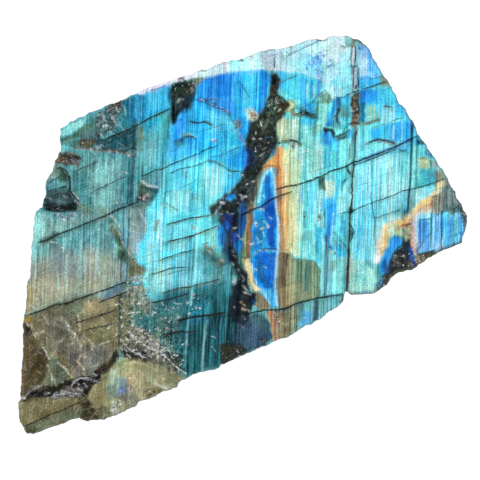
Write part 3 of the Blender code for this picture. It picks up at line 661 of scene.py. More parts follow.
STRAY_LAYERS = [(13, 1.0), (5, 0.5), (2.2, 0.25)]  # size in pixels and weight of what makes borders ragged
LAMELLA_STRAY = [(2.2, 0.6), (5.0, 0.5)]  # the same, drawn out along the lamellae by LAMELLA_STRETCH
LAMELLA_STRETCH = 0.05
GROUND_PEAK, GROUND_TROUGH = "teal_light", "teal"
GROUND_MARKS = dict(streak=0.85, rough=0.22, glint=0.0)
# Scratch-like pale nicks, painted as glints.
SCRATCH_GLINT_LEAST, SCRATCH_GLINT_LEFT = 0.15, 0.55  # everywhere, and more of it on the left
SCRATCH_GLINT_TO, SCRATCH_GLINT_OVER = 160, 50  # in pixels from the frame's left


class Canvas:
    """The colours and marks of the stone's vertices, drawn in the photograph's pixels."""

    def __init__(self, x, y):
        self.x, self.y = x, y
        self.stray_x = layered(x, y, STRAY_LAYERS, 71)
        self.stray_y = layered(x, y, STRAY_LAYERS, 74)
        across = x + LAMELLA_LEAN * y
        self.stray_y += layered(across, LAMELLA_STRETCH * y, LAMELLA_STRAY, 77)
        self.peak = np.tile(linear(GROUND_PEAK), (len(x), 1))
        self.trough = np.tile(linear(GROUND_TROUGH), (len(x), 1))
        self.marks = {name: np.full(len(x), value) for name, value in GROUND_MARKS.items()}
        left = smoothstep((SCRATCH_GLINT_TO - x) / SCRATCH_GLINT_OVER)
        self.marks["scratch_glint"] = SCRATCH_GLINT_LEAST + SCRATCH_GLINT_LEFT * left

    def lay(self, here, mask, peak, trough, marks):
        """Lays two colours and some marks on these vertices, each by its share of the mask."""
        wide = mask[:, None]
        self.peak[here] = self.peak[here] * (1 - wide) + linear(peak) * wide
        self.trough[here] = self.trough[here] * (1 - wide) + linear(trough) * wide
        for name, value in marks.items():
            self.marks[name][here] = self.marks[name][here] * (1 - mask) + value * mask

    def strayed(self, here, warp):
        """The place of these vertices, strayed so that a border through them is ragged."""
        return self.x[here] + warp * self.stray_x[here], self.y[here] + warp * self.stray_y[here]

    def fill(self, corners, soft, peak, trough, warp=2.0, share=1.0, **marks):
        """Lays a zone's colours and marks inside an outline, with a soft and ragged border."""
        here = np.flatnonzero(near(self.x, self.y, corners, soft + 2 * warp))
        inside = inside_by(*self.strayed(here, warp), corners)
        self.lay(here, share * smoothstep(0.5 + inside / (2 * soft)), peak, trough, marks)

    def stroke(self, line, width, peak, trough, soft=0.8, warp=0.6, share=1.0, **marks):
        """Lays colours and marks along a line of this width."""
        here = np.flatnonzero(near(self.x, self.y, line, width + soft + 2 * warp))
        gap = from_line(*self.strayed(here, warp), line)
        self.lay(here, share * smoothstep(0.5 + (width / 2 - np.abs(gap)) / (2 * soft)), peak, trough, marks)

    def paint(self, rows):
        """Lays each row: a style, its border or width in pixels, one or two colours, and its shapes."""
        for style, size, colours, shapes in rows:
            peak, trough = (colours.split() * 2)[:2]
            for shape in shapes.split(";"):
                if style in FILLS:
                    self.fill(points(shape), size, peak, trough, **FILLS[style])
                else:
                    self.stroke(points(shape), size, peak, trough, **LINES[style])

    def vary(self):
        """Uneven light over the face: soft clouds, bands along the lamellae and faint shifts of hue."""
        across = self.x + LAMELLA_LEAN * self.y
        light = 0.09 * lumps(self.x, self.y, 24, 61) + 0.12 * lumps(self.x, self.y, 7, 62)
        light += 0.09 * lumps(across, 0.2 * self.y, 5, 63) + 0.10 * lumps(self.x, self.y, 3, 64)
        hue = 0.07 * lumps(self.x, 0.5 * self.y, 26, 65) + 0.05 * lumps(across, 0.2 * self.y, 6, 66)
        tint = 1 + light[:, None] + hue[:, None] * np.array((-1.2, 0.0, 1.0))
        self.peak *= tint
        self.trough *= tint


# How strongly a style covers, how ragged its border is, and the marks that it leaves.
FILLS = {
    "zone": dict(), "veil": dict(share=0.78), "haze": dict(share=0.5), "wash": dict(share=0.3),
    "block": dict(share=0.95, warp=0.8), "facet": dict(share=0.95, warp=0.5, streak=0.75),
    "calm": dict(share=0.9, warp=1.5, streak=0.3), "soft": dict(share=0.9, streak=0.5),
    "matt": dict(share=0.9, rough=0.32, streak=0.28, scratch_glint=0.9),
    "pit": dict(share=0.97, rough=0.6, glint=0.25, streak=0.05),
    "crumbs": dict(share=0.93, warp=1.4, rough=0.65, glint=0.55, streak=0.05),
    "broken": dict(share=0.85, rough=0.4, glint=0.62, streak=0.3),
    "dusk": dict(share=0.95, warp=1.4, rough=0.3, streak=0.7),
}
LINES = {
    "stripe": dict(share=0.8, soft=0.9, warp=0.5), "line": dict(share=0.9, soft=0.6, warp=0.5),
    "seam": dict(share=0.85, warp=1.0, glint=0.4, streak=0.2, rough=0.5),
    # chip: small broken chips. The white, ivory and cream ones are painted glints on their edges, and all of
    # them carry the full glint mark, which adds the shader's painted glints.
    "chip": dict(share=0.75, warp=1.0, glint=1.0, streak=0.2),
    "halo": dict(share=0.5, soft=1.6, warp=1.0), "ribbon": dict(share=0.8, soft=2.4, warp=0.6),
}

# --------------------------------------------------------------------------------------------------
# What is drawn on the face, region by region from the left, the later over the earlier. Each row has a
# style, a size in pixels, one or two colours and the shapes, with a semicolon between them.

LEFT_FIELD = [
    ("soft", 6, "teal_light teal", "40,100 150,90 150,290 130,300 20,330 20,200"),
    # above the long crack: pale streaks in the middle, bluer to the right
    ("soft", 6, "teal_pale teal_grey", "90,160 124,158 122,206 96,212 88,190"),
    ("haze", 5, "aqua_pale teal_light", "100,168 112,168 112,206 98,206"),
    ("haze", 5, "sage teal", "82,152 104,152 100,168 80,176"),
    ("haze", 5, "teal teal_deep", "72,176 90,176 90,200 80,200"),
    ("veil", 3, "teal teal_deep", "123,156 131,156 131,206 122,208"),
    ("haze", 6, "teal_light slate", "112,182 128,178 128,204 112,208"),
    ("soft", 4, "teal_pale teal_grey", "33,212 60,218 84,216 110,212 112,216 76,228 40,240 31,246"),
    ("haze", 3, "green_grey", "78,202 92,204 96,212 84,216"),
    ("soft", 4, "aqua_pale teal_light", "31,214 46,214 42,240 30,256"),
    # below it: teal, then grey, then khaki down to the next crack
    ("soft", 6, "teal_light grey_teal_dark", "46,240 100,222 112,232 120,262 50,266"),
    ("haze", 5, "teal_light teal_grey", "96,228 112,230 114,262 96,262"),
    ("soft", 8, "mist haze_grey", "28,258 60,256 90,250 124,262 128,282 60,302 25,318"),
    ("haze", 7, "blue_grey haze_grey", "48,248 72,248 74,282 50,290"),
    ("haze", 7, "mist khaki", "84,250 100,250 100,290 84,294"),
    ("haze", 5, "sage haze_grey", "102,252 120,250 120,282 102,286"),
    ("haze", 7, "olive_pale khaki", "28,276 60,276 90,280 110,284 60,302 24,316"),
    ("haze", 2.5, "gold khaki", "24,292 33,284 33,304 25,314"),
    ("calm", 2, "green_grey grey_teal_dark", "40,240 60,231 60,236 44,246"),
    # the corner above the shelf
    ("calm", 1.8, "aqua_pale aqua", "60,130 66,125 75,121 86,117 85,123 78,129 70,134 61,136"),
    ("haze", 1.6, "mint aqua_pale", "70,124 84,119 82,124 72,131"),
    ("veil", 3, "teal_light teal", "80,118 97,111 98,128 90,132 82,126"),
    ("calm", 1.6, "green_mid green_dark", "60,139 68,136 76,131 84,124 98,119 98,126 88,129 80,136 70,139"
     " 62,143"),
    ("calm", 1.8, "teal_grey grey_teal_dark", "80,134 88,128 98,127 98,144 84,143 77,140"),
    ("veil", 1.6, "green_mid teal", "60,144 67,141 76,138 78,144 72,150 60,152"),
    ("veil", 1.6, "aqua teal_light", "60,147 68,144 72,150 60,153"),
    ("haze", 2, "green_grey green_dark", "88,116 98,113 98,121 90,123"),
    ("zone", 2.5, "teal teal_deep", "108,106 134,96 136,128 110,136"),
    ("veil", 2, "cyan_deep teal_deep", "124,102 137,95 137,122 127,127"),
    ("veil", 1.8, "aqua_deep teal", "112,112 124,108 131,126 118,133"),
    ("broken", 2.5, "teal_grey black_green", "95,116 104,110 113,105 121,101 123,110 116,116 114,126 109,131"
     " 103,134 98,140 93,137 95,126"),
    ("crumbs", 2, "taupe brown_dark", "108,106 121,101 121,108 112,111"),
    ("chip", 0.9, "white mist", "98,115 103,113; 104,117 106,120; 101,121 104,119; 107,110 112,108; 110,114"
     " 112,118; 102,126 106,123; 99,130 101,134; 105,128 108,125; 113,120 116,124; 97,124 100,123; 115,108"
     " 118,112"),
    # The dark band in the shelf: the stone's own dark teal, with painted shade under the shelf's ledge,
    # blackest at its lower border.
    ("calm", 1.6, "teal_deep black", "93,142 101,138 110,139 122,134 135,129 137,149 118,149 104,148"),
    ("veil", 3, "teal teal_dark", "106,138 133,130 134,143 104,146"),
    ("line", 2.2, "black black_green", "103,140 108,138 114,136 122,132.4 129,129.4"),
    ("line", 0.9, "aqua_pale sage", "116,118 120,126 124,131; 123,105 125,110 126,115; 109,131 112,134"),
    ("calm", 1.4, "black_green black", "96,146 110,148 124,150 136,147 136,152 120,153 104,150"),
    ("pit", 2, "olive charcoal", "76,140 92,138 98,146 88,147 78,147"),
    ("seam", 2.6, "tan grey_dark", "75,147 84,148 92,149 97,151 110,150.5 118,152 124,154 130,156 137,155"),
    ("chip", 2, "white lilac", "100,147 102,145.5; 108,151 110,152; 116,152 118,153.4; 127,154 129,156;"
     " 90,149 92,150; 142,149.5 142.6,150; 96,147 97,148; 133,151 135,152"),
    # the broken corner on the left edge, and the bowl under it
    ("crumbs", 1.4, "taupe brown_dark", "58,152 70,152 80,157 80,166 66,165 54,163"),
    ("haze", 2, "lilac taupe", "62,160 78,160 79,165 66,164"),
    ("haze", 1.2, "tan umber", "53,158 60,157 61,162 53,163"),
    ("soft", 1.6, "sage teal_grey", "53,164 59,166 60,173 54,178 46,186 43,184 48,177 52,171"),
    ("soft", 2, "teal_light teal_deep", "45,181 54,178 64,172 69,179 69,187 56,190 45,195"),
    ("calm", 2, "green_mid green_dark", "58,174 65,171 68,180 60,181"),
    ("line", 1.6, "black_green black", "58,168 64,172 68,177 70,183 70,190 74,195 79,201"),
    ("line", 1, "sage teal_grey", "60,167 66,171.5 71,177; 71.5,188 76,194 80,199"),
    ("seam", 1.2, "tan umber", "64,162 72,164 80,167"),
    ("pit", 1.6, "teal_grey teal_dark", "42,204 46,195 57,190 69,188 75,197 80,202 77,210 60,210 48,210"),
    ("calm", 2.4, "teal_grey grey_teal_dark", "50,194 66,190 72,198 64,203 50,202"),
    ("calm", 1.4, "black_green black", "46,205 60,203.5 78,201 77,210 60,210 48,210"),
    ("chip", 2.6, "lilac grey", "54,211 58,213.5 62,216 68,217; 70,214 77,214; 71,219 73,219; 78,202 80,203"),
    ("chip", 1.4, "white lilac_white", "63,218 64,219; 75,213.6 77,214; 50,199 50.6,200; 64,196 67,197"),
    ("seam", 1.2, "black", "44,209.5 54,211 66,211"),
    ("haze", 3, "green_grey olive", "78,204 88,203 92,214 82,216 78,210"),
]

LEFT_STRIPES = [
    ("veil", 1.6, "teal_grey teal_deep", "136,122 143,120 142,160 137,162"),
    ("stripe", 3.6, "teal_deep teal_dark", "134.5,120 133.5,160 131.5,204"),
    ("stripe", 1.6, "teal_light teal_grey", "137.2,150 136.4,200; 139,158 138.4,176"),
    ("stripe", 1.8, "slate teal_dark", "141.4,150 140.6,172"),
    ("stripe", 1.6, "teal_deep slate_dark", "129,160 128,204"),
    ("stripe", 2, "slate blue_grey", "124,208 123.6,240 123,248"),
    ("stripe", 2.2, "teal_pale blue_grey", "126.6,206 126,240 124,280"),
    ("stripe", 1.8, "slate_dark teal_dark", "129.8,206 128.8,240 127.6,262 126.6,284"),
    ("stripe", 1.8, "olive olive_dark", "128.8,240 128.8,262"),
    ("stripe", 2, "slate olive", "121.6,250 120.6,280"),
    ("stripe", 2.2, "aqua teal_grey", "122.4,296 121,330"),
    ("stripe", 2, "charcoal", "119.2,298 118.8,345"),
    ("stripe", 1.1, "aqua_pale teal_pale", "36,278 36.6,248; 41,262 41,246; 47,262 48,244; 58.6,290 58.6,276;"
     " 66,296 67,256; 71,240 71,222; 64,252 64,238; 80.4,284 80.6,240; 98.6,274 99,222; 86,168 86,154; 93,204"
     " 92.6,190; 103.4,206 103.4,186; 103,182 102.6,166; 96.6,186 96.6,170; 113,184 112,160; 109,188 109,168;"
     " 52,226 52,220; 90,196 90,182; 107,180 106.6,160; 118,200 118,186; 34,262 35,238; 84,272 84,252; 75,262"
     " 75,248; 44,236 44,222; 61,236 61,222; 115,258 115,244"),
    ("calm", 2, "green_grey green_dark", "109,218 113,221 119,232 122,242 128,254 127,264 120,256 114,240"
     " 109,230"),
    ("calm", 1.4, "green_mid green_dark", "116,236 121,240 126,250 127,262 122,262 118,250"),
    ("chip", 1.3, "cream grey", "110,214 113,218; 114,219 117,223; 118,224 121,228; 116,229 117.6,231;"
     " 118,234 120,237; 122,243 124,246; 128,250 131,257; 133,260 136,264"),
    ("chip", 1.2, "ivory mist", "133,222 137,228; 122,172 127,173; 119,175 122,176; 115,202 119,205; 98,211"
     " 102,215; 50,243 56,244; 61,250 64,247; 92,262 95,266"),
    ("haze", 3, "sage green_grey", "98,204 112,208 116,214 102,214"),
]

LOWER_LEFT = [
    ("matt", 3, "khaki olive", "22,320 50,306 84,296 118,292 120,350 112,380 100,422 20,440 16,400"),
    ("haze", 6, "taupe olive_dark", "30,322 60,310 82,318 80,350 52,352 36,340"),
    ("veil", 4, "green_grey olive", "56,304 84,300 84,318 62,318"),
    ("matt", 2.5, "tan_pale khaki", "84,302 117,297 117,309 84,319"),
    ("haze", 2.5, "olive_light olive_dark", "84,314 117,305 117,310 84,320"),
    ("matt", 2, "khaki olive", "84,321 116,311 116,321 84,331"),
    ("matt", 3, "olive_light olive", "84,332 116,324 117,348 84,350"),
    ("veil", 1.5, "blue_grey teal_grey", "104,292 122,285 127,289 116,297 104,300"),
    ("calm", 1.6, "slate slate_dark", "123,285 128,282 128,294 124,296"),
    ("haze", 6, "haze_grey grey_dark", "46,312 66,314 84,340 80,376 60,352 44,330"),
    ("matt", 4, "haze_grey grey_dark", "72,346 100,342 108,352 98,374 78,378 70,362"),
    ("haze", 4, "taupe olive_dark", "98,340 118,338 118,358 102,364"),
    ("matt", 3, "green_grey olive_dark", "50,358 62,358 72,376 62,388 48,386 52,370"),
    ("haze", 3, "olive brown", "56,350 68,346 69,368 62,362"),
    ("stripe", 1.2, "rust olive", "55,350 61,358 67,367"),
    ("haze", 3, "olive olive_dark", "62,332 69,332 69,348 62,350"),
    ("haze", 2.5, "khaki olive", "25,296 30,294 29,310 25,314"),
    # the brown hollow on the edge
    ("matt", 1.6, "olive brown_dark", "21,324 30,328 34,336 41,345 47,353 50,361 48,371 46,379 40,385 30,393"
     " 21,398"),
    ("calm", 2.5, "taupe umber", "18,338 26,340 27,384 24,396 18,398"),
    ("veil", 4, "brown brown_dark", "34,352 42,348 48,356 47,372 40,382 34,380"),
    ("haze", 2, "umber brown", "38,350 45,352 48,360 44,364 40,360"),
    ("calm", 1.2, "mustard olive", "24,316 31,315 33,321 29,322 24,322"),
    ("calm", 1.2, "brown_dark black", "24,323 30,323 32,331 31,336 26,336"),
    ("chip", 1.4, "cream olive_pale", "27.5,324 29,326.6; 31.4,324 32,330; 33.5,334 37,339.6; 42,345"
     " 46,351.4; 47,354 50,360; 52,356 54,352; 55,350 56,353; 35,335 44,332; 48,366 49,372; 51,374 53,380"
     " 56,385"),
    # fine pale nicks on the dull ground
    ("chip", 1.1, "cream olive_pale", "90,340 94,346; 78,316 79,318; 81,314 84,311; 92,346 93,350; 58,362"
     " 64,368; 64,368 76,379; 78,361 82,355 85,357; 79,362 85,369; 96,366 99,362; 66,325 76,336; 60,318"
     " 72,328; 45,316 49,326; 113,304 118,305; 108,329 111,325; 60,342 63,338; 80,320 80,331; 100,344"
     " 110,341; 70,336 73,344; 84,340 82,347; 88,300 90,306; 101,316 104,320"),
    ("seam", 2, "mist haze_grey", "66,326 80,344 81,350"),
    # the gash
    ("pit", 1.3, "brown_dark black", "21,399 32,393 44,387 58,383 70,379 80,377 92,374 98,368 108,362 118,350"
     " 121,356 112,366 110,376 104,382 96,386 93,390 88,398 72,397 58,397 44,399"),
    ("calm", 2, "olive_dark black", "44,388 62,384 74,382 72,389 56,393 42,396"),
    ("crumbs", 1.6, "haze_grey grey_dark", "58,391 72,388 84,390 82,396 62,397 52,397"),
    ("calm", 1.6, "brown black", "99,366 110,360 109,372 100,380 92,376"),
    ("chip", 0.9, "white lilac", "76,380 80,378.6; 84,379 92,380; 95,381 99,382; 75,381 80,386; 62,390"
     " 66,392; 74,393 80,396; 44,394.4 50,393.4; 52,397 58,396; 61,395 66,394; 20,399.4 26,396; 28,395"
     " 31,392; 34,390 40,386; 94,373 97,375; 109,370 112,367; 72,386 74,381; 68,394 72,396; 54,394 56,391;"
     " 84,384 87,388; 78,389 82,391"),
    # the strip along the foot
    ("matt", 1.8, "khaki olive", "18,402 44,401 64,399 86,400 80,405 50,416 24,426"),
    ("matt", 1.8, "green_grey olive_dark", "24,427 50,417 80,406 86,410 78,420 40,433 26,436"),
    ("haze", 3, "sage khaki", "20,402 34,402 34,418 20,420; 44,420 60,414 62,426 44,430"),
    ("haze", 2, "haze_grey olive", "62,400 76,400 76,406 64,408"),
    ("pit", 1.6, "olive_dark brown_dark", "80,402 88,399 94,406 100,411 108,415 100,422 86,423 78,420"
     " 84,410"),
    ("calm", 1.6, "black_green black", "82,401 90,400 94,407 86,409"),
    ("chip", 1.4, "gold olive", "91,405 98,411; 53,402 57,409; 93,413 96,414; 99,414 102,416; 54,402 55,405"),
]

LOWER_BLOCK = [
    ("matt", 1.8, "olive_pale olive_light", "108,372 116,362 126,357 146,356 166,361 182,374 188,385 150,402"
     " 124,413 108,419 90,398 94,388"),
    ("matt", 2.5, "khaki olive", "92,388 108,378 109,392 108,408 98,408 89,398"),
    ("haze", 3, "lime_pale olive_pale", "118,360 134,358 132,372 118,376"),
    ("calm", 1.6, "brown brown_dark", "120,357 136,355.6 150,357 166,361 164,363 146,360 130,359"),
    ("haze", 3, "khaki olive", "146,362 178,368 178,380 150,372"),
    ("haze", 5, "cream khaki", "124,374 144,374 142,396 126,394"),
    ("soft", 2, "mint sage", "110,372 118,367 121,380 118,392 110,396 109,384"),
    ("veil", 1.6, "teal_grey teal_deep", "109,388 114,386 115,398 110,400"),
    ("haze", 2.4, "azure_light slate", "115,378 124,377 128,388 122,393 115,391"),
    ("haze", 2.4, "blue_grey slate", "122,380 130,384 139,400 136,405 126,402 122,392"),
    ("veil", 1.6, "periwinkle slate", "116,390 123,388 126,394 122,397 115,396"),
    ("haze", 2, "haze_grey slate", "123,399 138,397 137,405 126,409"),
    ("crumbs", 2, "mist green_grey", "111,405 116,401 121,400 123,406 117,413 111,413"),
    ("chip", 1.2, "white mist", "112,402 118,400; 113,405 116,408; 119,402 121,406; 115,410 118,412; 111,409"
     " 113,413"),
    ("calm", 1.4, "taupe slate", "114,397 124,397 126,404 123,402 118,399"),
    ("matt", 1.6, "olive_light olive_dark", "96,408 108,404 110,416 106,424 97,424"),
    ("calm", 1.4, "tan_pale khaki", "154,377 165,377 169,382 160,385"),
    ("crumbs", 1.6, "olive olive_dark", "143,390 158,387 164,389 148,398"),
    ("chip", 1.3, "cream ivory", "153,383 161,386; 164,386 168,388; 158,378 163,379; 145,392 150,391; 133,361"
     " 140,363; 112,368 112,380; 114,404 117,402; 119,406 123,404; 112,411 115,409; 129,376 131,380"),
    ("haze", 3, "olive olive_dark", "168,368 184,373 189,378 178,387 166,384"),
    ("stripe", 1.2, "olive_pale olive_light", "128,364 127.4,386; 139,372 138.6,392; 148,366 147.4,384;"
     " 158,364 157.4,374; 121,362 120.6,376"),
]

FRACTURE_BAND = [
    ("calm", 1.6, "olive_light olive_dark", "130,257 136,261 143,268 150,270 150,276 140,276 128,279"),
    ("broken", 3, "sage teal_deep", "126,279 150,277 151,298 164,302 190,296 208,292 214,300 190,318 176,330"
     " 196,345 178,372 160,364 140,356 120,354 118,330 122,300"),
    ("veil", 1.2, "cyan cyan_mid", "131,283 135,281 141,281.6 140,284.6 134,286.4"),
    ("veil", 2, "aqua_deep green_mid", "133,292 146,292 150,300 136,302"),
    ("soft", 5, "green_mid teal_deep", "136,308 150,304 164,314 164,334 150,342 138,332"),
    ("haze", 5, "aqua_deep teal_deep", "136,316 148,314 156,328 148,338 138,332"),
    ("soft", 4, "green_mid teal_deep", "150,304 190,298 200,300 188,316 166,322 154,314"),
    ("soft", 4, "teal black_green", "164,322 184,320 194,336 190,348 168,344"),
    ("soft", 3, "aqua_deep teal_dark", "174,342 192,342 196,356 188,364 178,356"),
    ("broken", 2.5, "taupe black_green", "120,336 134,340 150,350 166,358 160,366 140,358 120,354"),
    ("broken", 3, "rock black_green", "124,328 138,326 154,336 168,350 178,364 188,372 176,372 160,362"
     " 144,352 128,342"),
    ("calm", 1.5, "brown_dark black", "124,352 136,353 150,357 148,359.4 124,357"),
    ("broken", 2.5, "olive_light green_dark", "116,296 131,290 131,345 117,350"),
    ("haze", 3, "rock olive_dark", "130,284 142,284 152,296 156,306 146,314 134,304 128,294"),
    ("veil", 2, "charcoal black_green", "165,350 182,352 186,368 172,368"),
    ("chip", 0.9, "white lilac_white", "132,276 137,278.6; 140,277 144,278; 131,279 134,281; 142,281 146,285;"
     " 148,288 151,290; 131,303 136,305; 139,305 142,304; 149,300 153,298; 132,296 136,291; 131,312 135,313;"
     " 131,320 133,325; 145,312 148,316; 155,308 157,312; 165,296 166,300; 128,331 132,336; 133,335 137,339;"
     " 140,342 144,344; 147,347 150,347.6; 153,350 158,351.6; 161,354 166,355; 140,330 144,330.6; 124,344"
     " 128,348; 130,350 133,352; 136,354 140,355; 154,342 158,345; 162,347 165,351; 156,328 160,331; 168,310"
     " 172,312; 178,316 182,318; 124,310 127,314; 120,338 123,341; 142,336 146,338; 150,340 152,344; 127,338"
     " 129,342"),
    # the dark teal ground with upright stripes below the crack
    ("zone", 4, "teal teal_dark", "186,300 212,291 232,296 238,318 234,352 220,366 190,378 178,372 185,345"
     " 180,328"),
    ("veil", 5, "aqua_deep teal_deep", "188,298 206,293 214,310 190,316"),
    ("haze", 5, "teal_deep black_green", "190,334 222,330 226,360 196,374"),
    ("haze", 4, "cyan_deep teal_deep", "190,302 208,298 208,322 188,326"),
    ("stripe", 2, "teal_light aqua_deep", "191.6,286 189,310 187,335 184,366; 208,298 206,325 203,350"
     " 201,373"),
    ("stripe", 1.4, "ice teal_light", "207,320 204.4,345 202.4,372; 188.4,318 186.6,345"),
    ("seam", 2.2, "black_green black", "181,321 190,318 200,316 212,314.6 222,313; 164,336 174,332 184,331"),
    ("seam", 1.8, "umber black", "179,322 177.6,328 176,333"),
    ("stripe", 1.2, "aqua_deep teal", "231,272 225,323 217,370; 227,283 220,330; 194,348 193,370; 212,340"
     " 210,364"),
    ("stripe", 2.4, "black_green", "230,298 228,330 224,360; 236,322 233.6,350; 220,314 217.6,330"),
    ("stripe", 1.2, "teal_dark black_green", "212,320 210.6,345; 199.6,322 197.6,352; 204,306 203,320;"
     " 215,340 214,362"),
]

CYAN_FIELD = [
    # the strip under the bevel, above the first long crack
    ("zone", 1.8, "azure_light cyan_deep", "136,92 143,88 156,85 172,83 172,106 150,118 137,122"),
    ("veil", 2, "azure_light teal_deep", "136,92 144,89 144,120 137,122"),
    ("haze", 3, "cyan_pale azure_light", "150,92 160,90 160,110 148,114"),
    ("haze", 2.5, "aqua teal_deep", "164,88 172,86 172,106 166,108"),
    ("stripe", 1.2, "teal_deep", "144.4,94 143.6,120; 157.4,96 157,113; 139,96 138.6,118; 163.4,92 163,104"),
    # between the first crack and the shelf
    ("zone", 2.5, "aqua aqua_deep", "137,124 170,110 169,150 164,165 158,178 137,178"),
    ("veil", 3, "cyan cyan_deep", "144,122 160,116 160,132 144,134"),
    ("haze", 3, "teal_light teal", "144,136 162,130 160,166 144,172"),
    ("haze", 3, "mist teal_light", "146,142 158,138 157,162 146,168"),
    ("veil", 1.8, "teal_light teal_deep", "137,146 146,144 146,176 137,177"),
    ("veil", 2.4, "teal slate", "163,118 170,112 170,150 165,162 160,172 159,160 163,140"),
    ("veil", 2.4, "olive_light green_dark", "137,128 145,126 145,140 138,142"),
    ("veil", 2.4, "green_grey teal_deep", "136,140 143,140 142,152 136,152"),
    ("haze", 2, "green_grey green_dark", "166,112 171,110 171,122 167,124"),
    ("stripe", 1.3, "aqua_pale", "160.6,124 159.6,150; 155,126 154.4,160; 150,130 149.6,166"),
    ("stripe", 1.3, "teal_deep", "168.6,120 167.6,146; 147.6,126 147,150; 157.6,132 157,160"),
    # the broken shelf
    ("veil", 1.6, "teal_grey grey_teal_dark", "141,178 150,173 163,168 161,180 159,186 150,184 143,181"),
    ("haze", 2, "blue_grey slate", "154,176 161,174 159,186 152,184"),
    ("calm", 2.4, "green_grey green_dark", "138,182 144,183 150,187 156,190 152,197 142,198 138,194"),
    ("calm", 1.6, "brown_dark black", "148,189 152,187 160,188 158,198 152,202 148,199 152,194"),
    ("crumbs", 1.8, "umber brown_dark", "137,196 143,194 148,195 149,200 143,202 137,200"),
    ("veil", 3, "green_grey grey_teal_dark", "132,203 150,201 158,200 162,204 152,212 136,215"),
    ("chip", 1.3, "white ivory", "142,181 147,184 150,186; 151,185.4 155,186; 156,187 160,186.6; 143,198"
     " 144,200 145,196; 147,194 148,196; 139,197 140,198"),
    ("soft", 2.5, "mist teal_grey", "131,208 146,210 149,224 148,240 142,256 131,254"),
    ("haze", 3, "teal_grey teal_deep", "141,208 150,210 149,220 142,220"),
    ("haze", 4, "lilac teal_light", "133,230 147,232 144,262 136,262 131,250"),
    ("chip", 1.1, "lilac_white mist", "140,210 143,216 146,220 148,226; 133,222 136,226; 156,222 156,226"),
    # the wide cyan field
    ("zone", 2.2, "cyan_pale cyan", "148,208 156,197 161,188 163,176 166,168 169,150 169,124 182,112 244,140"
     " 246,165 240,178 228,190 214,204 212,218 222,226 224,244 214,262 206,280 192,290 172,292 150,300"
     " 143,282 150,270 138,262 140,244 147,226"),
    ("veil", 3, "cyan azure", "170,140 200,140 208,150 172,166"),
    ("haze", 3, "cyan azure", "208,150 220,146 222,160 208,164; 172,168 190,162 190,176 172,184"),
    ("veil", 4, "cyan_white cyan_pale", "206,164 214,164 226,170 232,176 222,190 208,202 202,190"),
    ("haze", 5, "aqua_pale aqua", "160,190 208,190 212,212 164,216"),
    ("haze", 3, "mint aqua", "168,192 188,190 198,196 188,206 168,208"),
    ("haze", 3, "cyan_white cyan", "152,210 164,208 160,262 146,262; 147,236 160,232 158,290 146,284"),
    ("haze", 3, "cyan azure_light", "180,206 212,206 212,214 196,217"),
    ("haze", 3, "aqua_pale aqua", "164,228 196,222 196,234 166,240"),
    ("haze", 2.5, "mint aqua_deep", "166,240 194,236 194,246 166,252"),
    ("haze", 4, "teal_pale aqua", "160,258 192,250 192,270 158,276"),
    ("veil", 5, "teal_pale aqua_deep", "152,270 192,258 194,288 160,294 150,298 148,284"),
    ("haze", 4, "aqua_pale aqua", "152,272 172,268 172,288 152,294"),
    ("veil", 3, "aqua_pale aqua", "200,232 218,228 219,246 212,250 204,244"),
    ("veil", 2, "azure_light azure", "228,172 242,172 242,180 232,188 224,194; 215,228 222,228 223,246"
     " 217,252"),
    ("soft", 3, "teal_light teal", "199,246 222,252 228,264 224,290 198,292"),
    ("haze", 3, "aqua aqua_deep", "200,262 212,262 212,284 200,288; 213,282 224,280 222,296 214,298"),
    ("calm", 2, "green_grey teal", "203,244 212,246 216,254 222,262 216,268 208,262 203,254"),
    ("haze", 1.6, "olive green_dark", "212,256 224,260 222,268 214,266"),
    ("veil", 2, "aqua_deep teal_deep", "212,216 219,218 219,226 212,226"),
    ("haze", 8, "aqua_deep teal_deep", "150,290 206,280 218,290 196,312 150,318"),
    ("veil", 6, "teal teal_deep", "160,294 200,284 222,280 228,300 190,306 160,310"),
    # Dark green bands below the long cracks: partly their stain, partly painted shade beside them.
    ("halo", 3, "sage green_dark", "167,226 180,222.6 194,219 210,215.6; 164,242.6 178,240 192,236.6 206,232"
     " 218,227; 160,261 176,256 194,251; 151,276 162,272 172,269.4; 164,275 178,271.6 192,269; 168,292"
     " 184,288.6 200,285 218,281"),
    ("stripe", 2.6, "aqua_pale cyan_pale", "198,226 196.6,250 194.6,270 192,292 190.6,304"),
    ("stripe", 1.1, "aqua_deep teal", "195,240 194,262 191.4,284"),
    ("stripe", 1.4, "white cyan_pale", "161.4,206 161,250; 158,236 157.4,262; 186,194 185.6,212; 176,196"
     " 175,214; 219,168 218,184; 213,166 212,196"),
    ("stripe", 1.4, "cyan_mid cyan_deep", "163.4,206 162.6,236; 169,180 168,196; 159,240 158.4,266; 190,194"
     " 189.6,212; 181,180 180.6,196; 205,186 204.4,210; 173,228 172.4,238; 184,262 183.6,284; 207,256"
     " 206,288; 228,262 226.6,296"),
    ("calm", 1.6, "sage aqua_deep", "153,222 158,222 158,232 153,232; 191,226 195,226 194,231 191,231"),
    ("stripe", 1.8, "olive_light green_mid", "163,200 170,206 177,210"),
    ("veil", 1.2, "cyan_pale aqua", "162,168 168,166 167,200 160,204"),
    ("line", 1.3, "aqua_deep teal_deep", "166,182 166.4,190 163,204"),
    ("seam", 1.3, "brown_dark black", "190.4,237 190,241; 192.6,192 193,198"),
    ("chip", 1.6, "ivory tan", "194.6,157 196.6,157; 185,170 186,178; 202,186 203,187; 195,218.4 201,217;"
     " 192,227 193,230; 195,234.6 199,234.6; 151,247 154,247; 220,260 225,261; 173,192 177,191.6; 162,205"
     " 164,204; 155,223 157,226; 205,244 208,248 211,253; 213,246 217,248; 192,296 195,295"),
]

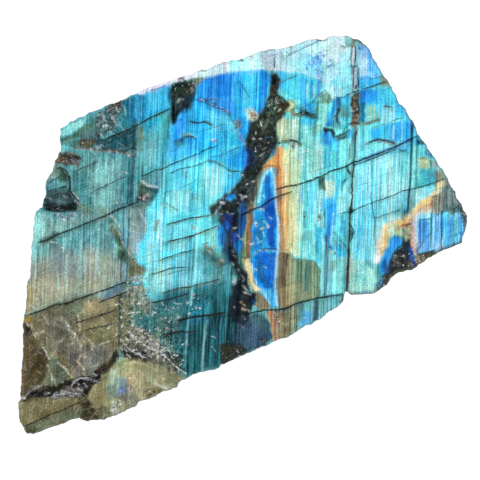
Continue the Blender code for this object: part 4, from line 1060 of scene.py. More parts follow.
BLUE_TOP = [
    ("zone", 1.6, "azure_light azure", "194,84 202,77 212,75 232,71 250,69 268,69 271,80 268,92 264,106"
     " 256,118 249,124 247,142 240,148 222,146 206,152 188,152 170,156 168,140 171,124 180,112 192,104"),
    ("facet", 2, "royal_light azure_deep", "200,79 212,76 236,73 238,96 214,98 200,98"),
    ("haze", 3, "azure_light azure", "194,86 208,80 208,98 196,98"),
    ("veil", 4, "cyan azure", "237,74 262,71 262,100 250,116 238,112"),
    ("veil", 3, "cornflower royal_light", "212,98 234,98 236,116 228,112 214,105"),
    ("haze", 3, "cyan azure", "193,102 208,104 209,120 192,121"),
    ("veil", 3, "cyan_pale azure_light", "209,112 226,113 233,124 232,142 208,140"),
    ("veil", 4, "cyan azure", "186,144 206,138 246,126 246,142 222,150 204,156 188,158"),
    ("haze", 3, "cyan azure", "188,124 208,126 208,136 190,134; 222,124 236,126 240,144 222,146"),
    ("veil", 2.5, "azure royal", "262,72 270,74 268,94 260,110 256,114 260,92"),
    ("haze", 2, "royal_light royal", "208,78 228,75 226,80 208,84"),
    ("veil", 2, "azure_light azure", "171,122 177,118 182,126 180,138 170,142"),
    ("veil", 1.6, "cornflower royal_light", "176,118 184,116 184,128 180,138 176,134"),
    ("veil", 1.8, "azure_deep cyan_deep", "183,112 191,110 190,132 184,130"),
    ("veil", 2.5, "azure_light azure", "168,142 184,144 184,154 168,160"),
    ("veil", 2, "azure royal", "240,116 250,122 248,144 242,142 237,132"),
    ("veil", 1.6, "azure_light azure", "208,157 222,153 246,146 250,155 246,172 232,170 222,163"),
    ("veil", 2, "azure azure_deep", "186,139 196,140 198,150 186,152; 226,160 246,150 247,168 232,166"),
    ("veil", 1.6, "royal_light royal", "242,146 252,150 252,162 246,172 243,160"),
    ("stripe", 2.2, "cyan_pale cyan", "253,76 251.6,98 251,108"),
    ("stripe", 1.6, "cyan_pale cyan", "225.6,140 225,158; 229,124 228.6,150; 234,76 233,100; 246,82 245,104"),
    ("stripe", 1.3, "azure_deep royal", "268,80 266,96; 214,80 213.6,96; 229,78 228.4,96; 222,76 221.6,98;"
     " 241,76 240.4,96; 210,108 209.6,130; 226.6,126 226,156; 201,80 200.6,98; 257,72 256.6,98; 236,100"
     " 235,124"),
    ("line", 1.1, "azure_deep royal_deep", "240.4,82 244,88 249,97"),
    ("calm", 1.6, "sage olive", "194,80 202,77 205,78 199,83 195,88"),
    # the crumbly line that curves down to the vein
    ("seam", 1.8, "taupe slate_dark", "199,98.6 204,100.4 209,103 215,106"),
    ("seam", 1.6, "umber charcoal", "209,99 214,99 218,101; 206,102 212,100"),
    ("chip", 1.6, "lilac periwinkle", "212,104 217,107 224,110 229,112; 203,100 206,101; 214,99 216,100"),
    ("calm", 0.9, "olive_dark black", "204,99.6 208,99 210,102 206,103; 211,103 216,102 218,107 213,106"),
    ("seam", 1.4, "slate royal_deep", "229,112 230,117 232,121"),
    ("crumbs", 1.4, "tan umber", "232,120 240,120 241,128 234,128"),
    ("chip", 1.2, "tan lilac", "233,129 237,134 241,140; 236,128 240,134 244,141; 242,141 246,144"),
    ("chip", 1.6, "ivory tan", "217,128 221,130; 209,140.6 215,140; 213,142 217,144; 188,134 191,135; 191,136"
     " 195,138"),
    # the pale burst beside the vein
    ("soft", 1.8, "cream aqua_pale", "246,111 251,108 257,112 258,118 254,122 248,122"),
    ("crumbs", 1.2, "gold rust", "250,113 254,112 257,115 255,119 251,119"),
    ("line", 1, "olive brown", "251,117 257,115; 251,113 255,119"),
    # short dark cracks and knots
    ("line", 1.8, "olive_dark black", "190,121.6 198,123 205,121.6 209,123.6 213,125.6"),
    ("calm", 1, "olive brown_dark", "203,122 208,122.6 213,124 213,127 207,125.4"),
    ("line", 2.4, "olive olive_dark", "208,160 212,161 217,163 223,166"),
    ("line", 1.6, "green_grey teal_deep", "223,166 228,169 234,171 241,171"),
    ("calm", 1.4, "sage green_dark", "182,135 186,131 189,132 188,136 184,138"),
    ("line", 1.6, "brown_dark black", "180,140 183,137.6 188,136 192,136.6 195.6,139"),
    ("calm", 1.8, "teal_deep black_green", "175,142 180,138.6 186,139 185,145 180,147 176,146"),
    ("line", 1.4, "slate teal_deep", "176,119 178,120 182,119"),
    ("seam", 1.6, "ivory charcoal", "249,74 251.6,74.4"),
]

RIGHT_FIELD = [
    ("zone", 2.5, "cyan_pale aqua", "276,70 300,72 352,98 353,165 350,250 346,294 300,300 286,250 280,200"
     " 276,150 284,110 278,90"),
    # between the vein and the dark blue knot
    ("veil", 2.5, "azure_light azure", "277,70 290,70 290,82 279,92"),
    ("veil", 3, "cyan cyan_mid", "286,72 300,72 300,100 294,102 284,88"),
    ("haze", 2, "cyan_pale cyan", "290,80 299,80 299,100 292,98"),
    ("veil", 1.8, "azure_light azure", "299,72 306,72 306,108 300,112"),
    ("veil", 2, "cyan azure", "306,76 316,78 316,104 306,108"),
    ("veil", 1.6, "cornflower azure_deep", "316,74 321,74 321,96 317,98"),
    ("haze", 2, "azure azure_deep", "300,100 306,100 306,110 300,110"),
    ("stripe", 1.4, "azure_deep royal_deep", "305.6,78 305.4,90 304.6,104; 311.8,80 312.4,96"),
    ("stripe", 1.6, "cyan_white cyan_pale", "313.6,86 314,100; 307.6,84 307.4,98"),
    ("veil", 3, "cyan_white cyan_pale", "321,70 352,64 352,92 336,97 322,92"),
    ("haze", 1.6, "cornflower azure_light", "335,76 338,76 338,94 335,94"),
    ("stripe", 2.4, "white", "332.4,86 332.8,99"),
    ("stripe", 1.2, "lilac blue_grey", "349.4,72 349.4,94; 339.6,90 339.8,97"),
    ("veil", 2, "sage green_mid", "320,94 326,89 331,94 331,104 326,106 320,103"),
    ("line", 1.1, "olive green_dark", "314,99 318,96 322,92 325,90 329,94 330,100; 325.6,99 328,104; 281,83"
     " 288,79 296,76"),
    ("veil", 2, "aqua_pale aqua", "320,104 328,104 328,126 320,128"),
    ("veil", 1.6, "cyan azure", "327,112 333,108 332,127 326,127"),
    ("veil", 1.6, "azure azure_deep", "333,100 339,98 338,110 334,116 330,127 326,127 331,114"),
    ("calm", 1.6, "royal_deep ink", "337,97 342,98 341,108 338,113 337,106"),
    ("haze", 2, "slate royal_deep", "329,121 340,120 340,128 329,128"),
    ("pit", 1.2, "slate black", "337,110 341,110 341,121 338,126 336,121 334,117 336.5,115"),
    ("veil", 2, "cyan azure", "342,97 352,93 352,104 342,106"),
    ("veil", 2, "aqua_deep teal", "341,104 352,103 352,118 342,120"),
    ("haze", 1.8, "olive_light green_dark", "342,109 350,108 349,117 343,120"),
    ("veil", 1.6, "cyan aqua_deep", "340,119 350,117 348,128 340,129"),
    ("calm", 1.2, "lemon lime_pale", "284,102 291,99.6 296,106 291,111 285,111"),
    ("line", 1.1, "aqua_deep teal_deep", "284,101 290,99.4 296,106 299,111; 292,109 296,107 300,105 305,104;"
     " 313,101 308,105 302,108"),
    ("calm", 1.2, "olive_light olive", "289,110 293,109 294,113 299,115 296,117 290,116"),
    ("haze", 1.6, "aqua teal", "294,107 300,106 300,113 294,113"),
    ("veil", 1.6, "azure azure_deep", "306,104 314,103 315,111 307,111.6"),
    ("veil", 2, "teal teal_dark", "316,102 320,101 319,120 316,118"),
    ("broken", 1.6, "teal_deep black_green", "299,110 306,109 309,112 315,112 318,116 316,118 306,118"
     " 299,115"),
    ("crumbs", 1, "slate black_green", "304,112 311,112 311,117 305,117"),
    ("veil", 2, "azure_light cyan_mid", "297,117 316,118 315,126 300,128"),
    # the pale columns
    ("veil", 2, "cream lime_pale", "277,119 284,116 287,120 286,140 278,142"),
    ("veil", 2.5, "mint sage", "285,117 297,118 298,142 286,142"),
    ("haze", 2, "lime_pale sage", "279,132 288,134 288,142 279,142"),
    ("veil", 3, "aqua_pale aqua", "298,126 315,124 314,180 298,186"),
    ("haze", 2, "cyan_white cyan_pale", "303,128 313,124 313,140 304,140; 300,146 306,146 305,166 300,170"),
    ("veil", 3, "mint lime_pale", "285,146 298,146 300,186 286,188"),
    ("veil", 2, "cyan_white aqua", "314,138 323,140 322,174 313,178"),
    ("haze", 2, "lime_pale aqua", "314,150 320,150 320,168 314,172"),
    ("veil", 2, "cyan aqua", "323,142 331,144 330,168 323,172; 331,142 340,142 340,168 331,170"),
    ("veil", 1.5, "cyan_pale", "340,140 350,140 350,164 340,167"),
    ("stripe", 2.2, "white cyan_white", "293.4,120 293.4,138; 321.2,146 321.4,168; 288,152 288,166; 296.6,146"
     " 296.8,182; 303.6,150 303,164"),
    ("stripe", 1.2, "sage green_mid", "287.4,118 287,130; 296,120 295.4,140"),
    ("line", 1.4, "teal_deep teal_dark", "299.8,116 299.4,130 300,143"),
    ("line", 1.3, "aqua_deep teal_deep", "315.5,120 314.6,140 313,160 312.4,178"),
    ("stripe", 1.2, "aqua_deep teal", "306.8,134 306,150 304,166 303.6,180; 293.6,148 293.6,176; 302.8,118"
     " 302.6,138; 309.6,146 309,172"),
    ("stripe", 1.3, "azure azure_deep", "329.6,146 329.6,166; 331.4,142 331,152; 338,142 337,166; 326,150"
     " 325.6,168"),
    # the dark star in its blue, and the cracks beside it
    ("haze", 2, "sage teal_grey", "315,123 324,123 322,134 315,134"),
    ("veil", 2, "azure azure_deep", "323,131 331,134 332,142 331,148 324,147 321,140"),
    ("veil", 2, "azure_light azure", "331,135 340,134 340,142 333,144"),
    ("block", 0.9, "ink black", "324,127 328,129 333,129 335,133 334,139 332,137 331,133 328,132 325,137"
     " 325,133 323,131"),
    ("calm", 1.2, "green_mid teal_deep", "335,135 344,132 351,129 351,134 343,139 337,141"),
    ("line", 1.1, "teal_deep teal_dark", "336,135.6 342,133.4 347,131; 340,139 348,136"),
    ("veil", 1.6, "azure_light azure", "347,132 353,130 353,142 348,140"),
    # the broken seam below the olive column
    ("seam", 1.5, "olive_dark brown_dark", "277,143 283,142 288,142 291,140 295,141 298,142 302,144"),
    ("calm", 1.2, "olive_light olive", "298,142 303,143.4 302,146.6 298.6,145.6"),
    ("crumbs", 1.2, "haze_grey umber", "291,143 295.6,141 296,150 293,149"),
    ("chip", 2, "ivory tan", "281,145 284,146; 289,144 292,145"),
    # under the long trace
    ("veil", 2, "cyan_pale cyan", "333,173 349,168 349,196 334,200"),
    ("veil", 2, "aqua_pale cyan_mid", "325,178 334,174 334,196 326,199"),
    ("haze", 1.6, "cream lime_pale", "326,183 333,181 333,193 326,195"),
    ("haze", 2, "cyan azure_light", "334,172 341,170 341,184 334,186"),
    ("calm", 1.4, "green_mid green_dark", "318,180 325,177 326,189.6 318,190.6"),
    ("stripe", 1.6, "teal_dark black_green", "320.2,179 320.2,184; 323.4,178 323.4,182.6"),
    ("stripe", 1.6, "olive olive_dark", "318,189.4 325,188.6"),
    ("stripe", 1.6, "cream mint", "326.8,184 326.6,199"),
    ("veil", 2, "cyan_white cyan_pale", "342,184 350,182 350,212 336,214"),
    ("veil", 3, "aqua_pale aqua", "299,187 308,184 308,262 299,262"),
    ("veil", 2, "cyan_pale aqua", "308,186 316,182 316,232 308,232"),
    ("haze", 1.6, "green_grey aqua_deep", "300,233 312,231 312,241 300,242"),
    ("veil", 2, "cyan_white aqua", "316,191 322,190 322,224 316,226"),
    ("veil", 2, "azure_light cyan_mid", "321,198 327,196 327,210 322,210"),
    ("veil", 1.6, "azure_light azure", "324,198 333,196 336,216 334,250 325.5,252"),
    ("haze", 1.4, "azure azure_deep", "327.5,204 332.6,202 333.4,216 332,240 327.5,242"),
    ("veil", 2, "cyan_pale cyan", "335,216 348,214 348,246 340,240 335,230"),
    ("veil", 2, "teal_light azure_deep", "333,232 340,241 347,248 345,252 334,250"),
    ("veil", 2, "cyan azure", "335,246 346,248 345,262 334,262"),
    ("veil", 2, "cyan cyan_deep", "316,228 323,228 321,262 316,262"),
    ("veil", 2, "aqua_pale aqua", "331,258 345,256 345,293 329,296"),
    ("haze", 2, "green_grey green_mid", "329,262 336,262 336,275 329,275"),
    ("line", 1.4, "cyan_white aqua_pale", "314.5,200 314.5,262; 333,214 331.5,240 329,262 327,296; 323,238"
     " 321.5,264 320,298"),
    ("stripe", 1.3, "azure azure_deep", "311.6,182 311.4,214; 336.6,186 336.4,198; 334.6,198 334.6,208;"
     " 303,188 302.6,204"),
    ("line", 1.1, "aqua_deep teal", "315.8,224 315.5,262; 298.5,200 297.5,226 296.5,250; 304,212 304,228;"
     " 307.6,192 307.4,206; 317.6,202 317.4,212"),
    ("line", 3, "blue_grey slate", "326.6,236 326,262 324.4,299"),
    ("stripe", 1.4, "azure_deep", "333,216 333.4,224; 341.5,216 341.5,232; 344,220 344,236"),
    ("stripe", 1.6, "teal_grey teal_deep", "330.5,244 330,262 328.5,297"),
    ("calm", 1, "sage green_mid", "316,214 320,214 321,220 316,220"),
    ("line", 1.6, "olive_dark brown_dark", "318.5,217 319,217.6"),
    ("chip", 1.6, "white tan", "317,222 319,221; 320,226 323,225.5; 334,252 335.5,254.5; 329,251 330,252;"
     " 320,203 321,204"),
    ("line", 1.6, "black_green black", "324.5,210.6 324.5,216.5"),
    ("stripe", 1.2, "slate teal_dark", "324.5,217 324.3,228"),
    ("line", 1.3, "charcoal black", "333.8,254 334.4,254.4; 329.5,247 331,247.6 332,249.4"),
    ("line", 1.2, "aqua_deep teal_dark", "334,232 340,240 347,247.5"),
    ("chip", 1.6, "white grey", "306,150 308,151; 303,216 304,217; 342,120 343,123; 311,172 313,172; 349,169"
     " 352,172"),
]

BELOW_TONGUE = [
    ("block", 1, "green_grey green_dark", "279,250 288,250 290,254 294,259 300,260 314.5,261 317,266"
     " 319.5,270 319,298 310,300 300,303 290,307 279,309 277,300 276,285 278,270"),
    ("veil", 1.2, "tan taupe", "278,251 283.5,251 282,308 277,308"),
    ("veil", 1.2, "tan umber", "283,250 289,252 288,308 282,308"),
    ("haze", 1, "umber brown", "283,250 290,253 291,264 283,264"),
    ("veil", 1.2, "olive_pale khaki", "288,254 293,259 293,306 287,307"),
    ("veil", 1.2, "sage olive_light", "293,259 298,260 298,304 292,306"),
    ("veil", 1.5, "sage green_mid", "298,260 306,260 305,302 298,304"),
    ("stripe", 2.2, "teal teal_deep", "306.5,264 306,302"),
    ("stripe", 1.8, "sage green_mid", "309.5,262 309,300"),
    ("stripe", 1.8, "lime_pale sage", "313,262 312.5,300"),
    ("veil", 1, "sage green_mid", "314.5,262 319.5,270 319,298 314,299"),
    ("haze", 3, "olive_pale olive_light", "280,288 300,284 312,298 282,308"),
    # under the lower crack
    ("zone", 1.5, "teal_pale teal", "268,312 344,296 342,305 324,317 300,330 276,342"),
    ("calm", 1.5, "khaki umber", "276,312 286,310 288,338 278,341"),
    ("veil", 1.5, "olive_pale olive_dark", "286,309 297,306 298,331 287,337"),
    ("haze", 2, "olive_light olive", "287,312 292,311 292,334 287,336"),
    ("veil", 2, "teal_grey green_dark", "297,305 304,303 302,328 296,332"),
    ("veil", 1.5, "teal_light aqua_deep", "303,303 312,301 311,324 301,328"),
    ("haze", 1.5, "cornflower azure", "303,314 311,312 311,324 302,328"),
    ("block", 1, "slate grey_teal_dark", "313.4,300 317.6,299 318,321 313,322.6"),
    ("line", 1.4, "cyan_pale aqua", "319.5,299 319,320"),
    ("veil", 1.5, "teal_light teal_deep", "321,299 328,298 328,313 321,318"),
    ("veil", 1.5, "teal_light aqua_deep", "329,299 341,297 339,306 329,311"),
    ("stripe", 1.8, "teal_grey charcoal", "342.5,296 341.5,304"),
    ("block", 1.2, "peach russet", "268,311 272,310 276,325 278,340 274,342 269,322"),
    ("stripe", 1.4, "lemon sage", "266.5,313 270.5,324 273,339"),
    ("crumbs", 1.2, "rock umber", "273,313 281,311 281,321 276,325"),
    ("veil", 1.6, "charcoal black_green", "221,346 236,343 248,351 251,358 232,368 221,370"),
    ("chip", 1.2, "white mist", "229,357 236,353; 233,361 240,357; 237,352 243,349; 227,364 231,362; 243,355"
     " 247,353"),
]

# The rolled top edge. Its white, lilac and palest cyan shapes are painted glare, a painted reflection of the
# softbox. Under the glare lie the edge's own flash, stripes, seams and chips.
BEVEL_WITH_PAINTED_GLARE = [
    ("facet", 1.0, "white lilac_white", "134,92 150,86 171,78 196,70 215,62 240,54 262,46 300,36 352,30"
     " 352,60 330,84 300,72 280,71 262,69.5 245,70 232,71 225,73 215,75 205,76 196,77 180,81 170,84 160,87"
     " 150,91 140,95"),
    ("veil", 2.5, "cyan_white ice", "196,70 222,62 228,71 205,77 196,77"),
    ("facet", 2.5, "cyan_white cyan_pale", "228,58 262,50 263,69 246,70 230,71"),
    ("haze", 3, "white cyan_white", "248,54 260,52 260,68 250,68"),
    ("calm", 1.2, "lilac", "262,50 275,47 276,68 268,70 264,66 261,58"),
    ("veil", 2, "ice lilac", "142,91 160,85 172,82 172,84 150,91 142,94; 276,46 297,42 297,70 280,72 276,68"),
    ("veil", 3, "cyan_pale ice", "297,40 325,36 326,70 298,72"),
    ("veil", 3, "white cyan_white", "303,39 350,34 352,56 330,62 303,50"),
    ("haze", 4, "cyan_pale cyan", "286,60 350,62 352,90 330,84 296,74"),
    ("veil", 3, "ice cyan_pale", "336,50 352,48 353,84 338,78"),
    ("haze", 2.5, "azure_light cyan_mid", "304,56 324,54 324,76 308,74"),
    ("stripe", 2.6, "white", "333.5,42 334,60"),
    ("stripe", 1.2, "cyan_pale aqua", "290,50 290,70; 300,46 300,74; 318,42 318,52; 328,44 327.5,70; 340,48"
     " 340,74; 312,44 311,56"),
    ("line", 1.2, "teal_light aqua_deep", "300,49.5 310,44.5 320,40"),
    ("chip", 1.6, "cornflower royal", "316,56 318,58; 314,60 315,61; 318,59 319,61; 312,62 316,63; 309,61"
     " 310,62; 306,65 307,69; 321,53 322,55; 324,57 325,55; 328,67 332,65; 317,73 320,75; 316,69 317,70;"
     " 320,61 321,63; 313,57 314,59; 304,64 306,65; 318,66 319,68; 321,78 320,82"),
    ("haze", 2, "cornflower azure", "312,56 322,55 322,64 312,64"),
    ("seam", 2.2, "charcoal black", "179,79 183,77 185,80; 239,60 243,61"),
    ("line", 1.4, "periwinkle royal_deep", "150,90.5 158,88 166,85.5"),
    ("seam", 1.4, "grey teal_dark", "197,70.5 205,70.5; 214,64.5 220,62.5 227,61; 287,46.5 292,45.5; 301,42.5"
     " 304,41; 318,39 325,39.5 328,37.5"),
    ("seam", 1.4, "taupe charcoal", "266,52 268,50 274,49.5; 275,55.5 275,58; 274.6,62 275,67; 282.5,54"
     " 282.5,57 284.5,60; 250,55 252,56"),
    ("calm", 1.4, "sage olive", "194,78 202,76 203,79 198,82 195,86 192,84"),
]

TONGUE = [
    # the fringe on its right, from brown over orange and gold to green-white
    ("veil", 2, "mint lime_pale", "288,150 299,150 301,200 300,258 293,258 289,200"),
    ("veil", 1.2, "lemon lime_pale", "285,147 289,150 290,186 294,206 295,240 294,256 289,254 288,215"
     " 286,187"),
    ("veil", 1.1, "gold", "282,147 286,150 286.6,186 289,208 290,250 285,250 284,215 282,185 281,165"),
    ("veil", 1, "amber", "280,146 283,148 284,180 286,200 287,230 285,248 283,215 281,165"),
    ("stripe", 1.4, "amber orange", "282.4,170 283,190 283.6,215 285,236 286,249"),
    ("facet", 0.8, "russet umber", "276,165 279.5,163 280.5,168 281.5,185 282,200 283,215 284,235 285,250"
     " 279,250 280,235 278.5,215 277.5,200 277,185"),
    ("veil", 0.9, "peach russet", "277,166 280.5,166 281,190 278,190"),
    ("haze", 0.9, "umber brown", "278,197 281.6,197 282.4,215 283.6,240 280,248 279,215"),
    ("stripe", 1.2, "orange tan", "280.6,196 281,216 281.6,246; 279,200 279.6,214"),
    ("line", 1, "khaki olive", "287.6,196 288,236; 292,214 291.8,246; 283.4,172 284,188; 290,150 290.4,186"),
    ("line", 1, "white lime_pale", "286.5,166 287,200; 289.5,206 289.5,246; 285,150 285.4,170"),
    ("stripe", 2, "cream aqua_pale", "296.2,196 295.8,228 295,256"),
    # round its top
    ("calm", 1.4, "aqua teal_grey", "271,150 276,146 276,154 270,160 266,164 264,160"),
    ("block", 1.4, "amber orange", "277,147 281,146 281,160 279,168 272,166 266,168 261,172 262,167 267,161"
     " 273,157 276,154"),
    ("line", 1.4, "rust russet", "278.5,150 278.5,162 280,170 281,176"),
    ("line", 1.8, "tan russet", "262,168 268,165 274,165.5 278,167"),
    ("stripe", 3.4, "tan umber", "262,169 258.5,176 256,186"),
    ("calm", 1.4, "umber brown_dark", "256,182 258,190 255,200 251,206 247,208 248,200 251,194 253,186"),
    # the brown and cream strip on its left
    ("block", 1.2, "sage green_mid", "241,214 247,209 247,240 246,262 241,262 242,238"),
    ("stripe", 1.8, "mustard amber", "247,212 247,236 246.6,256"),
    ("calm", 1, "umber brown_dark", "247.6,208 252,206 252,236 251,252 247.4,252"),
    ("stripe", 1.6, "ice grey", "252.6,211 252.6,232 253,246"),
    ("calm", 1.2, "khaki umber", "244,243 251,242 251,252 245,252"),
    ("calm", 1.2, "olive_dark brown", "245,252 251,252 252,258 246,259"),
    ("calm", 1.4, "cream gold", "243,259 251,258 252,272 253,282 260,290 255,292 249,286 245,276"),
    ("stripe", 1.4, "tan umber", "244,258 245,270 249,282 254,291"),
    ("calm", 1.4, "khaki umber", "255,292 264,293 269,301 271,308 262,309 256,308 255,300"),
    # the tongue itself, pale at parts of its border
    ("block", 1.2, "azure_light azure", "270,167 274,172 276,180 276.5,200 278,218 279.5,238 278.5,252"
     " 277,268 276,282 278,298 278,307 272,307 268,300 263,291 257,286 253.5,276 252,262 252,240 252,222"
     " 253,212 257,207 258,198 260,188 262,178 266,170"),
    ("calm", 2, "azure_deep royal_deep", "265,174 270,176 273,190 274,212 270,214 267,206 265,190"),
    ("calm", 2, "azure teal", "255,212 262,212 266,226 262,236 255,236"),
    ("calm", 1.6, "royal royal_deep", "265,208 274,206 276,222 276,248 269,244 267,226 262,213"),
    ("veil", 1.4, "royal navy", "258,205 266,201 276,197 276,204 274,216 268,212 262,209"),
    ("veil", 2.5, "teal azure_deep", "252,228 262,230 266,240 262,250 253,252"),
    ("calm", 2, "azure_deep royal_deep", "256,257 264,251 276,252 274,272 273,288 268,292 261,285 256,272"),
    ("haze", 2.5, "royal_light royal", "264,252 276,252 274,276 270,286 264,270"),
    ("haze", 2.5, "teal teal_deep", "254,262 264,262 266,280 262,284 256,276"),
    ("veil", 2.4, "azure azure_deep", "253,262 258,258 260,278 266,291 259,285 254,275"),
    ("veil", 1.6, "cornflower royal", "271,254 277,254 275,270 274,284 271,280"),
    ("veil", 2, "cyan_pale azure", "262,286 272,287 276,296 276,306 270,303 265,295"),
    ("stripe", 2.2, "cyan_white cyan_pale", "270,169 265,174 262,183 260,193 258.6,202"),
    ("stripe", 1.7, "ice cyan_white", "270.5,168 274,175 275.6,190 276.4,206 278,222 278.8,238 278,250"
     " 276,266 275,282 276,296 277,306"),
    ("stripe", 1.3, "white azure_light", "252.6,264 253.4,272; 254.4,278 257,284; 260,288 263,292; 265,295"
     " 267,298 271,305"),
    ("line", 1.2, "slate_dark navy", "257,252.6 262,249 268,247.8 277,248.8"),
    ("chip", 1.3, "ice blue_grey", "255,255 260,252 263,250.5; 266,249.6 270,249.6; 273,250.4 279,251"),
    ("chip", 1.8, "white ice", "267,224 268,226; 261,229 263,228; 255,223 256,226; 249,242 251,244 254,243"),
    ("chip", 1.2, "ice cyan", "263,222 266,224; 264,266 267,267; 255,269 258,271; 262,196 265,198; 257,238"
     " 259,241; 263,232 265,236; 258,243 262,241; 269,216 271,219"),
    ("chip", 2.2, "cream tan", "260,208 262,209; 279,226 284,225; 251,202 252,203; 253,206 254,207"),
    ("veil", 1.4, "tan umber", "247,208 251,198 252,222 251.4,240 251,258 247.4,259 247,232"),
    ("stripe", 1.3, "orange rust", "249.4,216 249.6,236 249,254"),
    ("stripe", 1.1, "lime_pale aqua_deep", "246.2,212 245.6,232 245.6,256"),
]

